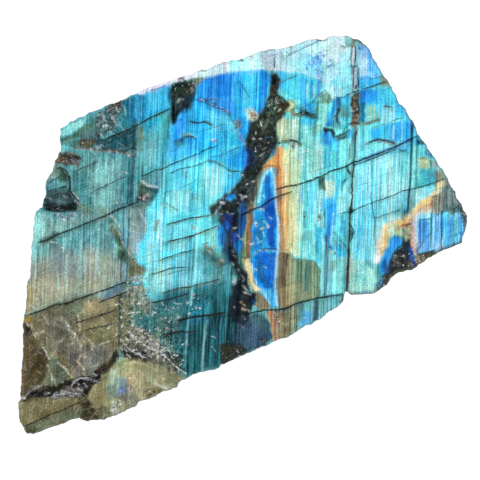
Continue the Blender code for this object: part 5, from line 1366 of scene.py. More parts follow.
DARK_VEIN = [
    # the pit under the top edge
    ("dusk", 2.4, "teal_dark black", "171,92 173,85 178,82 183,80 188,81 191,78 195,82 195.6,90 194,100"
     " 192,107 189,111 185,108 181,112 177,116 175,124 171.4,125 170.4,114 171,104 170.4,98"),
    ("crumbs", 3, "green_dark black", "174,83 186,81 188,92 182,99 173,96"),
    ("broken", 2, "olive black", "187,80 194,79 195,90 192,97 187,92"),
    ("dusk", 3, "slate_dark black", "180,97 192,94 191,109 184,108 178,113"),
    ("veil", 2, "teal_deep teal_dark", "190,96 194.6,92 193.6,107 189,110"),
    ("dusk", 1.6, "black_green black", "171,106 176,108 175,122 171.6,124"),
    ("line", 1.2, "teal_dark black", "175,110 174.6,122; 178,110 177.6,117; 186,106 186,112; 172.6,84"
     " 172.4,96"),
    ("chip", 1.4, "ivory grey", "177.4,102 178.6,99.6; 182,99 183,98.6; 181,82 184,80; 179,77 181,79; 190,88"
     " 192,90"),
    # the vein from its black top down to the left
    ("pit", 1.8, "charcoal_light black", "271,76 275,75 279,78 281,82 280,87 277,91 280,96 284,99 287,102"
     " 288,107 283,112 281,118 278,122 277,128 277,136 278,141 275,147 272,153 269,158 265,163 262,168"
     " 259,174 257,181 255,187 252,193 250,199 248,205 245,212 241,210 238,206 234,212 232,222 228,226"
     " 222,228 219,222 219,214 214,216 211,215 210,208 214,206 217,204 217,201 221,199 224,196 226,194"
     " 231,192 233,190 236,185 240,181 243,176 241,172 244,169 248,163 248,155 246,148 248,140 248,131"
     " 250,125 253,121 258,118 260,113 263,109 264,104 266,99 269,95 272,91 272,87 270,82"),
    ("calm", 2, "black", "270,76 277,76 278,88 272,90"),
    ("pit", 3, "green_dark black", "250,126 262,118 272,120 276,134 268,148 254,148 248,140"),
    ("crumbs", 4, "green_grey black", "258,118 268,114 274,124 264,134 256,128"),
    ("crumbs", 4, "charcoal_light black", "252,136 266,132 268,150 254,150"),
    ("crumbs", 2.5, "green_mid black", "264,104 270,97 281,97 283,110 268,117"),
    ("crumbs", 2, "taupe black", "273,86 279,86 277,94 272,96"),
    ("calm", 2.5, "olive_dark brown_dark", "278,104 289,102 287,108 282,114 278,122 276,114"),
    ("veil", 3, "charcoal black_green", "247,166 257,158 262,166 254,180 246,184"),
    ("veil", 2.5, "royal_deep slate_dark", "248,150 254,150 253,164 248,166"),
    ("block", 1.4, "azure_light azure_deep", "226,197 229,194.5 235,193.5 236,198 230,200 226,199.5"),
    ("veil", 1.6, "teal_grey teal_dark", "232,189 238,189 238,195 233,195"),
    ("calm", 2, "black", "238,190 246,188 248,199 241,202 237,198"),
    ("calm", 2, "black_green black", "222,202 239,202 238,213 226,214 221,208"),
    ("chip", 1.1, "ivory grey", "267.5,114 268.5,114; 263,149 265,148; 260,156 263,154; 251,182 253,183"
     " 252,184.4; 243,175 244,177; 256,118 257,119; 270,104 272,101; 274,109 276,107; 277,105 279,104;"
     " 253,138 254,139"),
    ("chip", 2, "white lilac_white", "241,194.5 244,196 242.5,198.5; 244,196 247,195; 221,202 224,203"),
    ("chip", 1.4, "ice blue_grey", "219.5,208 220.5,206; 214,216 216,213 217,211; 221,214 223,214; 231,214"
     " 232,213; 241,214 242,216; 239,202 240,203; 228,211 228,212"),
    ("line", 1.6, "azure_deep slate", "267,137 268,137.6; 271,150 274,155"),
    # navy flash round the tail of the vein
    ("zone", 2, "slate ink", "219,222 226,214 238,214 243,202 246,214 244,246 238,262 229,262 222,248"
     " 219,236"),
    ("veil", 2.5, "royal_deep navy", "225,214 233,212 234,224 228,228 224,222"),
    ("veil", 1.8, "royal_light royal_deep", "225,222 229,221 229,229 225,230"),
    ("calm", 2, "ink black", "233,214 239,210 239,228 234,232 232,224"),
    ("block", 1.8, "azure_deep slate_dark", "240,204 244,200 246,214 243,236 239,236 239,216"),
    ("veil", 1.5, "azure royal_deep", "218,226 222,224 225,234 224,250 219,246"),
    ("veil", 2.5, "slate slate_dark", "224,232 231,230 231,250 224,252"),
    ("veil", 1.8, "royal navy", "231,233 239,231 240,240 232,241"),
    ("veil", 2, "azure royal_deep", "235,242 243,239 244,250 238,256 234,250"),
    ("veil", 2, "teal_deep navy", "222,250 229,250 230,264 223,264"),
    ("veil", 1.6, "teal teal_dark", "236,252 242,250 242,266 237,268"),
    ("chip", 1.5, "ivory teal_grey", "220,259 224,260; 241,239 244,239.6; 234,228 237,227; 237,234 239,236"),
    # the lower run of black pits
    ("pit", 1.2, "charcoal black", "229,248 233,247 237,252 237,262 242,269 246,275 246,281 248,288 251,292"
     " 257,294 256,306 252,312 250,320 243,326 239,324 235,322 230,312 231,296 234,284 238,278 236,270"
     " 231,266"),
    ("calm", 2, "slate_dark black", "230,286 240,284 241,310 238,324 230,322"),
    ("veil", 2, "charcoal ink", "244,292 255,294 255,304 246,306"),
    ("stripe", 2.4, "teal_deep azure_deep", "254,301 255,305"),
    ("veil", 1.6, "teal_deep teal_dark", "231,268 237,267 237,276 231,276"),
    ("chip", 1.6, "white ice", "243,286 245,289 248,292; 245,293 247,294; 249,294.5 251,294.4; 232,282"
     " 235,284; 235,280 236,280"),
    ("chip", 1.8, "lilac grey", "241,276 243,279; 238,270 239,271; 242,282 243,281; 232,250 233,252; 233,255"
     " 235,256; 232,264 233,265"),
    ("chip", 2, "cream tan", "243,310 246,311; 244,306 245,306.4; 241,303 242,303.4"),
    ("chip", 1.4, "ivory grey", "248,311 250,313; 243,316 244,318; 246,319 247,320; 242,326 244,328"),
    # the dim corner below the crack
    ("soft", 2, "slate slate_dark", "238,320 246,318 262,314 268,322 273,338 262,348 238,358 232,350"
     " 234,334"),
    ("veil", 3, "teal_grey teal_deep", "252,318 264,316 266,328 256,330"),
    ("haze", 4, "blue_grey slate_dark", "246,326 264,326 270,338 256,348 244,344"),
    ("stripe", 1.4, "black_green black", "236,316 235,350; 228.6,300 226.6,350"),
    ("seam", 2.5, "umber brown_dark", "262,339 268,340 264,345"),
    ("crumbs", 2, "olive_dark black_green", "222,346 240,344 248,352 230,362 222,361"),
]

RIGHT_SIDE = [
    ("zone", 1.6, "cyan_pale aqua", "357,38 364,42 380,70 400,104 424,142 450,182 447,190 417,192 392,204"
     " 376,226 352,292 350,250 352,200 354,160 357,100"),
    # above the first crack
    ("facet", 2, "ice azure_light", "357,44 372,48 380,66 382,76 360,82 357,60"),
    ("haze", 3, "cyan_white ice", "358,54 368,54 370,78 360,80"),
    ("haze", 2, "periwinkle azure", "357,41 368,46 374,56 370,60 358,54"),
    ("veil", 2, "azure_light azure", "370,54 376,60 381,72 374,76 370,70"),
    ("veil", 1.2, "mist slate", "356,38 364,40 367,46 359,46"),
    ("chip", 1.4, "slate royal_deep", "358.6,47 359.6,48.6; 361,49.6 362.6,48"),
    ("veil", 1.5, "azure_light azure", "359,78 379,75 378,83 362,90 359,90"),
    ("calm", 1.4, "sage olive_light", "379,76 384,76 390,81 393,92 388,89 380,83"),
    ("line", 1.2, "aqua_deep green_dark", "370,79 378,77 382,76; 366,88.4 376,85 386,82"),
    ("block", 0.9, "umber brown", "385,81 389,79 390,82 386,84"),
    # between the first and the second
    ("veil", 2, "cyan azure_light", "359,92 372,88 392,87 400,102 402,112 396,119 359,122"),
    ("veil", 1.8, "royal_light azure", "359,92 372,88 378,88 378,98 368,103 359,106"),
    ("haze", 1.8, "royal", "360,92 367,91 367,99 361,100"),
    ("veil", 1.4, "cyan_deep teal_deep", "359,103 365,102 365,121 359,122"),
    ("veil", 2, "lime_pale aqua", "366,104 378,104 379,118 366,120"),
    ("veil", 3, "cyan_white cyan", "376,102 394,104 396,120 379,124"),
    ("calm", 1.2, "olive_light olive_dark", "363,122 370,119.6 378,117.6 379,121 372,123 364,126"),
    ("haze", 1, "sage olive", "359,122 366,121 365,127 359,127"),
    ("veil", 1.6, "azure_light cyan_mid", "397,98 404,104 412,120 406,120 399,116"),
    ("veil", 1.2, "lilac slate", "404,106 411,116 414,123 409,120 404,113"),
    ("line", 1.6, "olive teal_deep", "384,106 391.6,106.4"),
    # between the second and the third
    ("veil", 2, "azure_light azure", "370,130 396,121 412,120 416,132 404,141 386,142 374,140"),
    ("haze", 2, "azure", "392,124 410,122 410,138 394,141"),
    ("haze", 2.4, "cyan azure", "370,130 388,126 388,138 372,140"),
    ("seam", 1.8, "umber brown_dark", "366,145 371,143.5 374,140.6 379,140 386,140.6 390,142 396,144"),
    ("haze", 1.4, "olive brown_dark", "376,138 396,139 396,145 388,144 378,142"),
    ("seam", 1.6, "olive_dark black", "397,149 402,150.4 406,149; 397,147 399,152"),
    ("stripe", 4, "azure azure_deep", "366,158 384,151 398,145.6 411,139.6"),
    ("line", 1.6, "azure_deep slate_dark", "360,159.6 374,154.6 388,149.6 402,143.6 412,138.6"),
    ("veil", 1.8, "cyan azure", "388,151 411,142 411,153 398,153 386,156"),
    # below the third
    ("haze", 3, "cyan_white cyan", "356,166 372,160 392,156 409,156 409,190 392,198 356,208"),
    ("haze", 2, "white cyan_pale", "380,158 390,156 390,197 380,198"),
    ("veil", 2, "aqua_pale aqua", "400,160 409,160 408,190 400,192"),
    ("haze", 3, "cyan azure_light", "372,203 408,192 408,210 374,218"),
    ("haze", 4, "cyan_pale cyan", "353,214 374,208 374,262 353,262"),
    ("haze", 3, "cyan cyan_mid", "354,226 366,226 366,250 354,250"),
    ("veil", 2.4, "cyan_white cyan_pale", "374,222 386,216 402,212 402,222 390,222 380,230 377,262 374,262"),
    ("soft", 1.8, "aqua_pale aqua", "352,255 360,259 372,271 376,282 370,294 349,294 350,268"),
    ("haze", 1.6, "green_grey green_mid", "351,257 357,261 360,290 351,290"),
    ("haze", 4, "cyan_white cyan", "356,166 372,160 409,156 409,206 376,222 374,262 353,262"),
    ("haze", 3, "mint aqua", "352,256 362,262 374,272 372,292 350,292"),
    # beyond the upright dark line
    ("veil", 1.4, "azure_light cyan_deep", "413,124 424,142 428,147 417,148 413,146"),
    ("calm", 1.2, "teal_deep black_green", "416,142 424,141 428,146 417,146"),
    ("veil", 1.5, "cyan_pale aqua", "413,147 427,148 430,158 414,158"),
    ("veil", 1.2, "cornflower slate", "424,146 430,149 434,156 429,158 425,152"),
    ("calm", 1.6, "lemon sage", "418,157 429,157 430,167 424,169 418,167"),
    ("line", 1.3, "olive olive_dark", "420,158.4 426,157.6"),
    ("veil", 1.4, "mist slate", "428,158 437,161 440,168 432,169 430,163"),
    ("calm", 1.8, "aqua aqua_deep", "413,168 434,169 442,176 440,181 414,190"),
    ("haze", 2, "cyan blue_grey", "418,170 436,168 438,178 424,182"),
    ("veil", 1.5, "tan_pale olive", "436,170 443,170 450,181 448,192 438,198 434,186"),
    ("veil", 1.5, "cyan_white cyan", "414,190 434,184 432,196 426,202 416,208"),
    ("line", 2.2, "teal_dark black_green", "412,122 411.7,146 411,165 409.5,190 407.5,214"),
    ("stripe", 2.6, "teal_deep teal_dark", "409,190 407.5,214"),
    ("stripe", 1.5, "teal_deep teal_dark", "417,138 416.7,160 416,180 415,200 414,213"),
    ("stripe", 1.6, "aqua_pale teal_light", "414.5,150 414,190; 419,160 418,176"),
    # single lamellae
    ("stripe", 1.1, "cyan_mid azure_deep", "407,122 406,140; 404,141 405,162; 368,168 368,190 370,200;"
     " 396,152 394,166; 403,192 402,212; 384,206 384,222; 386,96 386,104; 376,84 377,104; 398,97 398,119"),
    ("stripe", 1.2, "aqua_deep cyan_deep", "363.5,128 363,150; 372,201 373,212 375,222 374,240; 367,208"
     " 366,250; 360,210 359,250; 376,240 375,264; 392,100 392,110; 374,98 375,104; 372,168 371.6,192;"
     " 357.4,170 357,196; 392,168 391.6,190; 387,126 386.6,138; 399,160 398.6,176; 362,176 361.6,200"),
    ("stripe", 1.4, "white cyan_pale", "402,120 402,139; 357.6,130 357,148; 377,160 376.6,180; 388,204"
     " 387.6,218; 370,226 369.6,250; 365,172 364.6,190; 394,126 393.6,138"),
]

SPLIT = [
    ("stripe", 1.4, "aqua aqua_deep", "347,100 347,150 346,200 346,250"),
    ("calm", 1.2, "teal_light green_dark", "344,36 350,36 356,39 356,47 350,48 346,46 344,41"),
    ("calm", 1, "green_grey teal_dark", "345,43 351,44 352,48 346,47"),
    ("calm", 0.9, "khaki olive_dark", "352,39 356,39 355,47 352,48"),
    ("calm", 0.9, "white lilac", "352,48 354.6,47 355.4,56 354.6,64 351,63 351,56"),
    ("calm", 0.9, "lilac_white lilac", "353.6,67 357.4,67 357.6,88 354,90 353.4,80"),
    ("seam", 1.1, "slate slate_dark", "351.8,48 351.2,54 350.6,59 352,63; 355.6,46 355.4,54 355.8,62;"
     " 353.6,78 353.4,90; 358.4,66 358.5,78 358.5,90; 353.6,68 353.6,73"),
    ("seam", 1.6, "slate ink", "351,64.6 353,65.4 357.6,65"),
    ("crumbs", 1.1, "umber brown_dark", "355.6,84 358,84 358,88 355.6,88"),
    ("crumbs", 1.1, "tan brown_dark", "357.6,91 360,92 359,104 359,113 355,113 353,109 351.6,103 352.4,96"
     " 355,92"),
    ("seam", 1.2, "brown_dark black", "353,96 353,104 356,108 356,113; 358.4,94 357.6,104 358.6,112"),
    ("crumbs", 1.2, "tan umber", "353,112 359,111 359.6,122 356,127 351,127 351,121"),
    ("seam", 2, "brown black", "349,124.4 353,123 360,123; 352,112.6 357,112"),
    ("seam", 2, "tan umber", "357,128 355.5,138 355,150 354,160 354,166 352.5,176 352,186 352,196 351,206"
     " 350,214 350,224 349.5,236 349,252"),
    ("seam", 1.2, "umber brown_dark", "356,132 350,146 349,158; 354,166 351,180"),
    ("seam", 2.8, "taupe charcoal", "349,250 348,268 346.6,294"),
    ("line", 1, "ivory grey", "350.8,254 349.8,270 348.6,292; 346.8,256 345.6,280"),
    ("line", 2, "charcoal black", "346,165 348,170 351,175 353,176"),
    ("calm", 0.9, "black_green black", "348,210 352,210 353,214 349,215"),
    ("calm", 0.9, "charcoal black", "350,229 354,234 351,238"),
    ("line", 1, "teal_deep teal_dark", "348,178 343,184 342,192; 348,188 350,194; 346,126 343,132"),
]

LOWER_RIGHT = [
    ("pit", 1.2, "grey_dark black_green", "404,228 416,216 418,250 420,262 404,276 384,290 376,292 382,274"
     " 388,262 394,252 402,246"),
    ("calm", 1.2, "mist sage", "404,228 411,227 411,240 404,242"),
    ("calm", 1.2, "slate black_green", "403,241 410,240 409,262 402,262"),
    ("crumbs", 1.5, "grey_dark black_green", "393,254 402,250 406,266 394,269 390,264"),
    ("veil", 1.6, "slate navy", "386,258 393,254 394,268 387,272"),
    ("crumbs", 1.2, "taupe charcoal", "409,260 416,262 416,268 408,268"),
    ("pit", 1.2, "charcoal black", "386,273 390,268 400,267 412,266 420,265 420,269 400,274 392,279 389,285"
     " 385,279"),
    ("crumbs", 1.2, "grey_dark black", "376,286 381,277 387,276 392,280 388,288 374,294"),
    ("veil", 1.4, "azure_light blue_grey", "374,294 377,284 381,277 383,279 379,288"),
    ("veil", 1.6, "mint lime_pale", "389,228 402,225 404,238 395,238 389,240"),
    ("block", 1.4, "azure_light azure", "390,241 394,236.4 400,238 403,242 402,246 397,250 393,256 389,262"
     " 386,272 381,276 379,268 382,256 386,248"),
    ("haze", 1.6, "cornflower royal", "392,241 396,239 400,240.6 401,244 396,249 391,254 388,262 385,270"
     " 383,266 386,256 390,246"),
    ("veil", 1.8, "slate royal_deep", "383,260 388,258 388,270 384,274 381,270"),
    ("line", 1.4, "black", "402.5,241 402,245 398,248 394,253 392,256"),
    ("line", 1.4, "cyan slate", "391,238 395,236 400,238"),
    ("veil", 1, "royal_light royal_deep", "409,248 412,246 415,254 418,264 415,266 411,259"),
    ("line", 1.6, "cyan_white azure_light", "413.4,249 416,258 418.5,264"),
    ("line", 2.2, "charcoal black", "352,294 358,294 363,293"),
    ("stripe", 1.4, "green_grey olive_dark", "364,294 372,292 378,289"),
    ("chip", 1.3, "ivory grey", "396,256 397,258; 398,262 400,263; 404,256 405,257; 390,276 391,278; 411,264"
     " 413,265"),
]

GOLD_BAND = [
    ("haze", 2.5, "white cream", "376,262 377,246 380,231 388,223 401,219 411,212 421,203 432,194 441,190"
     " 437,206 424,213 416,221 404,228 394,230 388,236 384,250 379,262"),
    ("ribbon", 6, "white", "377,260 379.6,246 382,236 386,227"),
    ("ribbon", 5, "cream gold", "386,227 394,224 402,223 409,220 415,211 422,204 430,198 437,190 442,182"),
    ("ribbon", 3, "gold amber", "392,226 402,222 409,219.6 415,211 422,204 430,198"),
    ("veil", 2, "lemon gold", "382,238 384,230 388,226 389,236 386.6,246 383,254 380.6,256"),
    ("ribbon", 2.4, "amber orange", "382,254 384.4,244 386,236"),
    ("haze", 2, "cream gold", "379,230 388,226 388,238 384,250 379,252"),
    ("veil", 2, "mint sage", "389,226 398,223 399,232 391,234"),
    ("veil", 2, "cream tan_pale", "417,209 431,202 432,215 419,217"),
    ("veil", 1.6, "rock tan", "431,201 441,195 441,213 431,215"),
    ("veil", 1.2, "cream khaki", "409.6,228 414,227 414.4,250 411,245"),
    ("ribbon", 2.6, "orange rust", "397,230 401,227 406,224.6 410,223 413.6,217.6 418,212 424,207.4 431,204"),
    ("ribbon", 2.4, "gold amber", "417,207 423,202.6 429,200 434,195"),
    ("line", 1.6, "russet rust", "402,226 407,225 410,223.6; 432,199 431,205 430,209"),
    ("line", 1.3, "umber brown_dark", "434.5,196 434,208; 431,197 438,195 444,192"),
    ("line", 1.6, "umber brown_dark", "412,226 411,234 411.5,240"),
    ("stripe", 1.2, "green_mid teal_deep", "405,210 404,221; 408,212 407,218; 402,204 402,220; 412,200"
     " 411,214"),
    ("line", 1.2, "olive green_dark", "403,229 403,240; 404,230 407,234 410,236"),
]

CORNER = [
    ("soft", 1.5, "teal_grey slate_dark", "436,196 446,186 452,184 458,192 464,208 468,222 462,222 456,214"
     " 440,214 434,212"),
    ("veil", 1.4, "rock umber", "436,196 443,192 443,214 436,216"),
    ("haze", 1.6, "mist teal_dark", "444,190 456,190 458,206 446,210"),
    ("haze", 1.2, "sage teal_deep", "446,208 454,207 454,215 447,216"),
    ("zone", 1.2, "cyan_pale royal_light", "419,217 430,214 446,213 462,213 466,222 465,234 463,243 450,247"
     " 438,250 420,254 417,240"),
    ("veil", 1.4, "cornflower royal", "420,222 430,220 431,250 419,253"),
    ("haze", 2, "ice royal_light", "421,238 430,236 430,250 420,252"),
    ("veil", 1.2, "periwinkle royal_light", "420,226 423,226 423,240 420,242; 427,234 430,232 430,246"
     " 427,248"),
    ("veil", 1.4, "azure_light royal", "445,218 452,216 453,246 444,247"),
    ("haze", 1.6, "royal_light royal", "445,222 453,222 453,240 445,244"),
    ("veil", 1.4, "cyan_pale cornflower", "455,228 465,224 463,243 455,245"),
    ("haze", 1.4, "white cyan_pale", "419,212 430,212 430,218 420,221"),
    ("haze", 1.6, "ice azure", "432,216 441,214 441,247 432,250"),
    ("haze", 1.4, "white ice", "437,244 441,242 441,248 436,249; 441,240 445,238 445,246 441,247"),
    ("veil", 1.2, "cyan_pale azure", "455,214 460,213 461,228 456,232"),
    ("crumbs", 1.2, "haze_grey slate", "460,208 466,212 468,222 468,232 464,240 463,226"),
    ("veil", 1.6, "white lilac_white", "414,216 419,214 418.4,240 417,254 414,249 412,242"),
    ("stripe", 1.8, "amber orange", "412.8,227 412.4,240 414,249 417,256"),
    ("line", 1.6, "navy ink", "431.4,214 431,234 430.6,248"),
    ("line", 1.2, "slate_dark navy", "420.6,220 420.4,232 420,244; 424.6,219 424.2,230; 436,212 435.6,226;"
     " 438.4,214 438,232; 448.4,214 448,226; 456.6,214 456,236; 459.4,218 459,232"),
    ("line", 1.5, "slate_dark black", "441.8,211 441.5,230 441,248"),
    ("line", 1.5, "slate_dark ink", "453.6,209 453.5,226 453,244"),
    ("stripe", 1.5, "royal_light royal", "436.5,222 437,240; 445.4,216 445,232"),
    ("stripe", 1, "ice azure_light", "433.5,217 433,246; 439,216 439,232"),
    ("stripe", 1.2, "royal_light royal", "424,224 423.6,244; 427,222 426.6,236; 450.6,220 450,244; 461,232"
     " 460,243; 458.6,214 458.2,226"),
    ("line", 1, "slate_dark navy", "420,221 430,218.5; 419,249 423,242 427,238 431,232; 455,236 461,232"),
    ("line", 1, "slate_dark black", "442,213 450,210 458,206; 459,198 461,212; 439,196 439,214; 446,192"
     " 447,208; 452,190 453,206"),
    ("pit", 1, "olive brown_dark", "418,254 430,251 441,249 452,246 464,240 466,246 446,254 430,264 420,268"),
    ("line", 1.6, "black", "419,254 430,251.5 441,249.5 452,246.5 463,242"),
    ("pit", 1, "charcoal black", "440,248 452,246 464,241 465,246 446,253 440,254"),
    ("crumbs", 1, "rock umber", "417,255 424,255 426,261 419,265 416,261"),
    ("chip", 1.3, "white ice", "463,213 464,214; 456,214 456.6,218; 416,254 418,256; 420,259 422,261"),
]


WASHES = [
    ("wash", 6, "aqua teal_deep", "80,154 126,154 126,204 88,206 80,190"),
    ("wash", 5, "cyan_pale cyan_deep", "150,150 170,140 196,144 196,206 150,208"),
    ("wash", 5, "azure_light azure_deep", "194,84 232,73 268,70 264,106 250,116 196,106"),
    ("wash", 5, "cyan cyan_deep", "196,144 246,150 240,178 214,204 196,206; 184,110 248,116 246,150 184,152"),
    ("haze", 3, "azure_light cyan_mid", "144,92 169,86 169,110 144,118"),
    ("wash", 4, "cyan cyan_deep", "147,120 166,114 166,160 147,166"),
    ("wash", 4, "charcoal black", "250,112 272,100 276,134 262,164 248,164"),
    # The first and last shapes of this wash lighten the painted glare on the rolled top edge. Its middle
    # shape lightens the flash on the right.
    ("wash", 4, "cyan_white cyan_pale", "228,52 300,38 350,36 350,72 228,72; 345,140 406,140 406,196 345,200;"
     " 283,46 302,40 302,72 283,74"),
    ("wash", 3, "cream amber", "280,170 293,170 293,250 280,250"),
    ("wash", 4, "cyan_white cyan", "354,205 375,205 374,256 354,256"),
    ("wash", 5, "cyan_white cyan", "152,262 216,262 216,284 156,292"),
    ("wash", 3, "cyan_pale cornflower", "422,216 462,214 460,244 422,250"),
    ("chip", 1.7, "cornflower royal_light", "316,56 318.6,54; 318,59 320,60.6; 320,50.6 321.6,52; 314,62"
     " 316,63.4; 310,64 312,64.6; 306.6,67 307,69; 320,62 321,64; 323.6,54 325,56; 328,66.4 330,66; 317,69"
     " 318.4,70.4; 317,76 318.6,77; 330,60 331.4,61; 321,71 322.6,72.6; 312,60 313.4,61; 315,58 317,60;"
     " 308,63 309,64.6"),
    ("chip", 1.4, "grey_dark charcoal", "239.6,58.6 242,60.6; 287,45.6 291,47; 300,42 304,41; 318,38.4"
     " 322,39.6; 342,45 345,47; 226,61 227.6,62; 266,49 270,48"),
    ("line", 0.9, "blue_grey slate", "288,55 300,50 312,43.6 320,39.6"),
    ("line", 1.5, "charcoal", "120,294 119.4,320 119,346"),
    ("wash", 5, "olive olive_dark", "16,400 88,396 100,420 30,438 16,430"),
    ("wash", 3, "olive olive_dark", "20,334 44,338 48,384 22,392"),
    ("wash", 4, "olive_light olive", "108,362 178,362 150,408 108,416"),
]

PAINTED = [
    LEFT_FIELD, LEFT_STRIPES, LOWER_LEFT, LOWER_BLOCK, FRACTURE_BAND, CYAN_FIELD, BLUE_TOP, RIGHT_FIELD,
    BELOW_TONGUE, BEVEL_WITH_PAINTED_GLARE, TONGUE, DARK_VEIN, RIGHT_SIDE, SPLIT, LOWER_RIGHT, GOLD_BAND, CORNER, WASHES,
]


FACE_KEPT = 0.75  # share of the face's colours on the wall's top FACE_KEPT_TO millimetres, less below it
FACE_KEPT_TO, FACE_KEPT_REACH = 0.4, 0.9
WALL_MARKS = dict(streak=0.4, rough=0.5, glint=0.05, scratch_glint=0.2)
BACK_MARKS = dict(streak=0.3, rough=0.7, glint=0.25, scratch_glint=0.5)
SHARP_ANGLE = 0.7


def blend(low, high, share):
    """A run of colours between two of the list."""
    share = np.clip(share, 0, 1)[:, None]
    return linear(low) * (1 - share) + linear(high) * share


def paint_wall(c, stone):
    """The broken sides: grey-green, with browner beds, a few dull flashes and the face's colours on top."""
    side = ~(stone.on_face | stone.on_back)
    x, y, height = stone.points[side].T
    along = stone.along[side]
    beds = lumps(along + 0.4 * height, 2.2 * height, 9, 81) + 0.5 * lumps(along, height, 2.5, 82)
    beds += 0.5 * np.round(1.5 * lumps(along + height, 1.5 * height, 3.5, 87))
    browner = lumps(along, 0.6 * height, 14, 83) + 0.4 * lumps(along, height, 3, 84)
    peak = blend("charcoal_light", "green_grey", 0.5 + 0.6 * beds)
    trough = blend("black_green", "charcoal", 0.5 + 0.6 * beds)
    brown = np.clip(1.6 * browner - 0.2, 0, 0.9)[:, None]
    peak = peak * (1 - brown) + blend("umber", "khaki", 0.4 + 0.6 * beds) * brown
    trough = trough * (1 - brown) + linear("brown_dark") * brown
    flash = (0.7 * smoothstep(3 * (lumps(along, 1.5 * height, 6, 85) - 0.45)))[:, None]
    peak = peak * (1 - flash) + blend("teal", "azure_deep", 0.5 + lumps(along, height, 12, 86)) * flash
    from_face = THICKNESS - height - BEVEL_SLOPE * np.clip(from_line(x, y, to_mm(BEVEL_LINE)), 0, None)
    kept = (FACE_KEPT * np.exp(-np.clip(from_face - FACE_KEPT_TO, 0, None) / FACE_KEPT_REACH))[:, None]
    c.peak[side] = c.peak[side] * kept + peak * (1 - kept)
    c.trough[side] = c.trough[side] * kept + trough * (1 - kept)
    for name, value in WALL_MARKS.items():
        c.marks[name][side] = c.marks[name][side] * kept[:, 0] + value * (1 - kept[:, 0])


def paint_back(c, stone):
    """The sawn back: matt grey-green, with paler saw marks, brown seams and small dark grains."""
    x, y, _ = stone.points[stone.on_back].T
    cloud = 0.5 + 0.5 * lumps(x, y, 16, 91) + 0.3 * lumps(x, y, 5, 92)
    seam = smoothstep(1 - np.abs(lumps(x + 0.4 * y, 0.5 * y, 21, 93)) / 0.07)[:, None]
    peak, trough = blend("teal_grey", "green_grey", cloud), blend("grey_teal_dark", "charcoal_light", cloud)
    c.peak[stone.on_back] = peak * (1 - seam) + linear("khaki") * seam
    c.trough[stone.on_back] = trough * (1 - seam) + linear("umber") * seam
    for name, value in BACK_MARKS.items():
        c.marks[name][stone.on_back] = value


def stone_object():
    """The dressed stone, with its colours and marks kept on its vertices."""
    stone = Stone()
    x, y = stone.points[:, 0], stone.points[:, 1]
    canvas = Canvas(MIDDLE_PX[0] + x / MM_PER_PX, MIDDLE_PX[1] - y / MM_PER_PX)
    for rows in PAINTED:
        canvas.paint(rows)
    canvas.vary()
    paint_wall(canvas, stone)
    paint_back(canvas, stone)
    lines = {kind: np.where(stone.on_face, line_mark(x, y, kind), 0.0) for kind in FINE_LINES}
    lines["shade"] = np.where(stone.on_face, crack_shade(x, y), 0.0)
    mesh = bpy.data.meshes.new("labradorite_slab_dressed")
    mesh.from_pydata((stone.points * MM).tolist(), [], stone.faces)
    for name, colour in (("peak", canvas.peak), ("trough", canvas.trough)):
        mesh.attributes.new(name, "FLOAT_COLOR", "POINT").data.foreach_set(
            "color", np.column_stack([colour, np.ones(len(x))]).ravel())
    for name, values in (canvas.marks | lines).items():
        mesh.attributes.new(name, "FLOAT", "POINT").data.foreach_set("value", values)
    mesh.shade_smooth()
    mesh.set_sharp_from_angle(angle=SHARP_ANGLE)
    mesh.update()
    print("stone:", len(mesh.polygons), "faces", len(x), "points")
    found = bpy.data.objects.new("labradorite_dressed", mesh)
    bpy.context.scene.collection.objects.link(found)
    return found


# --------------------------------------------------------------------------------------------------
# Material. Sizes are in millimetres of the stone: a scale is so many lumps for each millimetre.

STRIPES = [(0.5, 0.03, 0.20), (1.3, 0.06, 0.34), (2.7, 0.08, 0.46)]  # scale across and along, weight
STRIPE_DETAIL = 1.5
STRIPE_RANGE = (0.445, 0.555)
STRIPE_MOTTLE = 0.08
THROUGH = 0.05  # scale of drawn-out noise through the stone's thickness

CLOUDS, CLOUD_RANGE = dict(scale=0.35, detail=5.0, roughness=0.62), (0.36, 0.64)
CRUMBLE, CRUMBLE_RANGE = dict(scale=1.0, detail=4.0, roughness=0.75), (0.43, 0.60)
GRAIN, GRAIN_RANGE = dict(scale=2.9, detail=3.0, roughness=0.7), (0.34, 0.66)
GRAIN_GAIN, GRAIN_LEAST = 1.6, 0.2
GRAIN_SHARE_PLAIN, GRAIN_SHARE_STREAKED = 0.62, 0.34

PALE_HAIRS = dict(across=3.2, down=0.045, low=0.56, high=0.66)
DARK_HAIRS = dict(across=3.0, down=0.05, low=0.57, high=0.67)
PALE_HAIR_SHARE, DARK_HAIR_SHARE, DARK_HAIR_GAIN = 0.72, 0.68, 0.3
PALE_HAIR_GAIN, PALE_HAIR_LIFT = (1.5, 1.5, 1.5), (0.03, 0.05, 0.05)
DARK_HAIR_SHIFT = (31.0, 17.0, 0.0)

CLEAVAGE_LEAN = -0.31  # radians from the stone's X: the fine cracks rise to the right
CLEAVAGE = dict(across=3.6, down=0.07, low=0.64, high=0.74)
CLEAVAGE_SHARE, CLEAVAGE_GAIN = 0.55, 0.25
QUARTER_TURN = 1.5708

SCRATCH_GLINT_TURNS = [(0.5, 3.0), (-0.9, 2.6), (1.25, 3.4), (0.1, 2.8)]  # direction in radians, scale across
SCRATCH_GLINT_NOISE = dict(down=0.25, low=0.63, high=0.73)
SCRATCH_GLINT_SHARE, SCRATCH_GLINT_GAIN, SCRATCH_GLINT_LIFT = 0.8, 1.3, 0.22

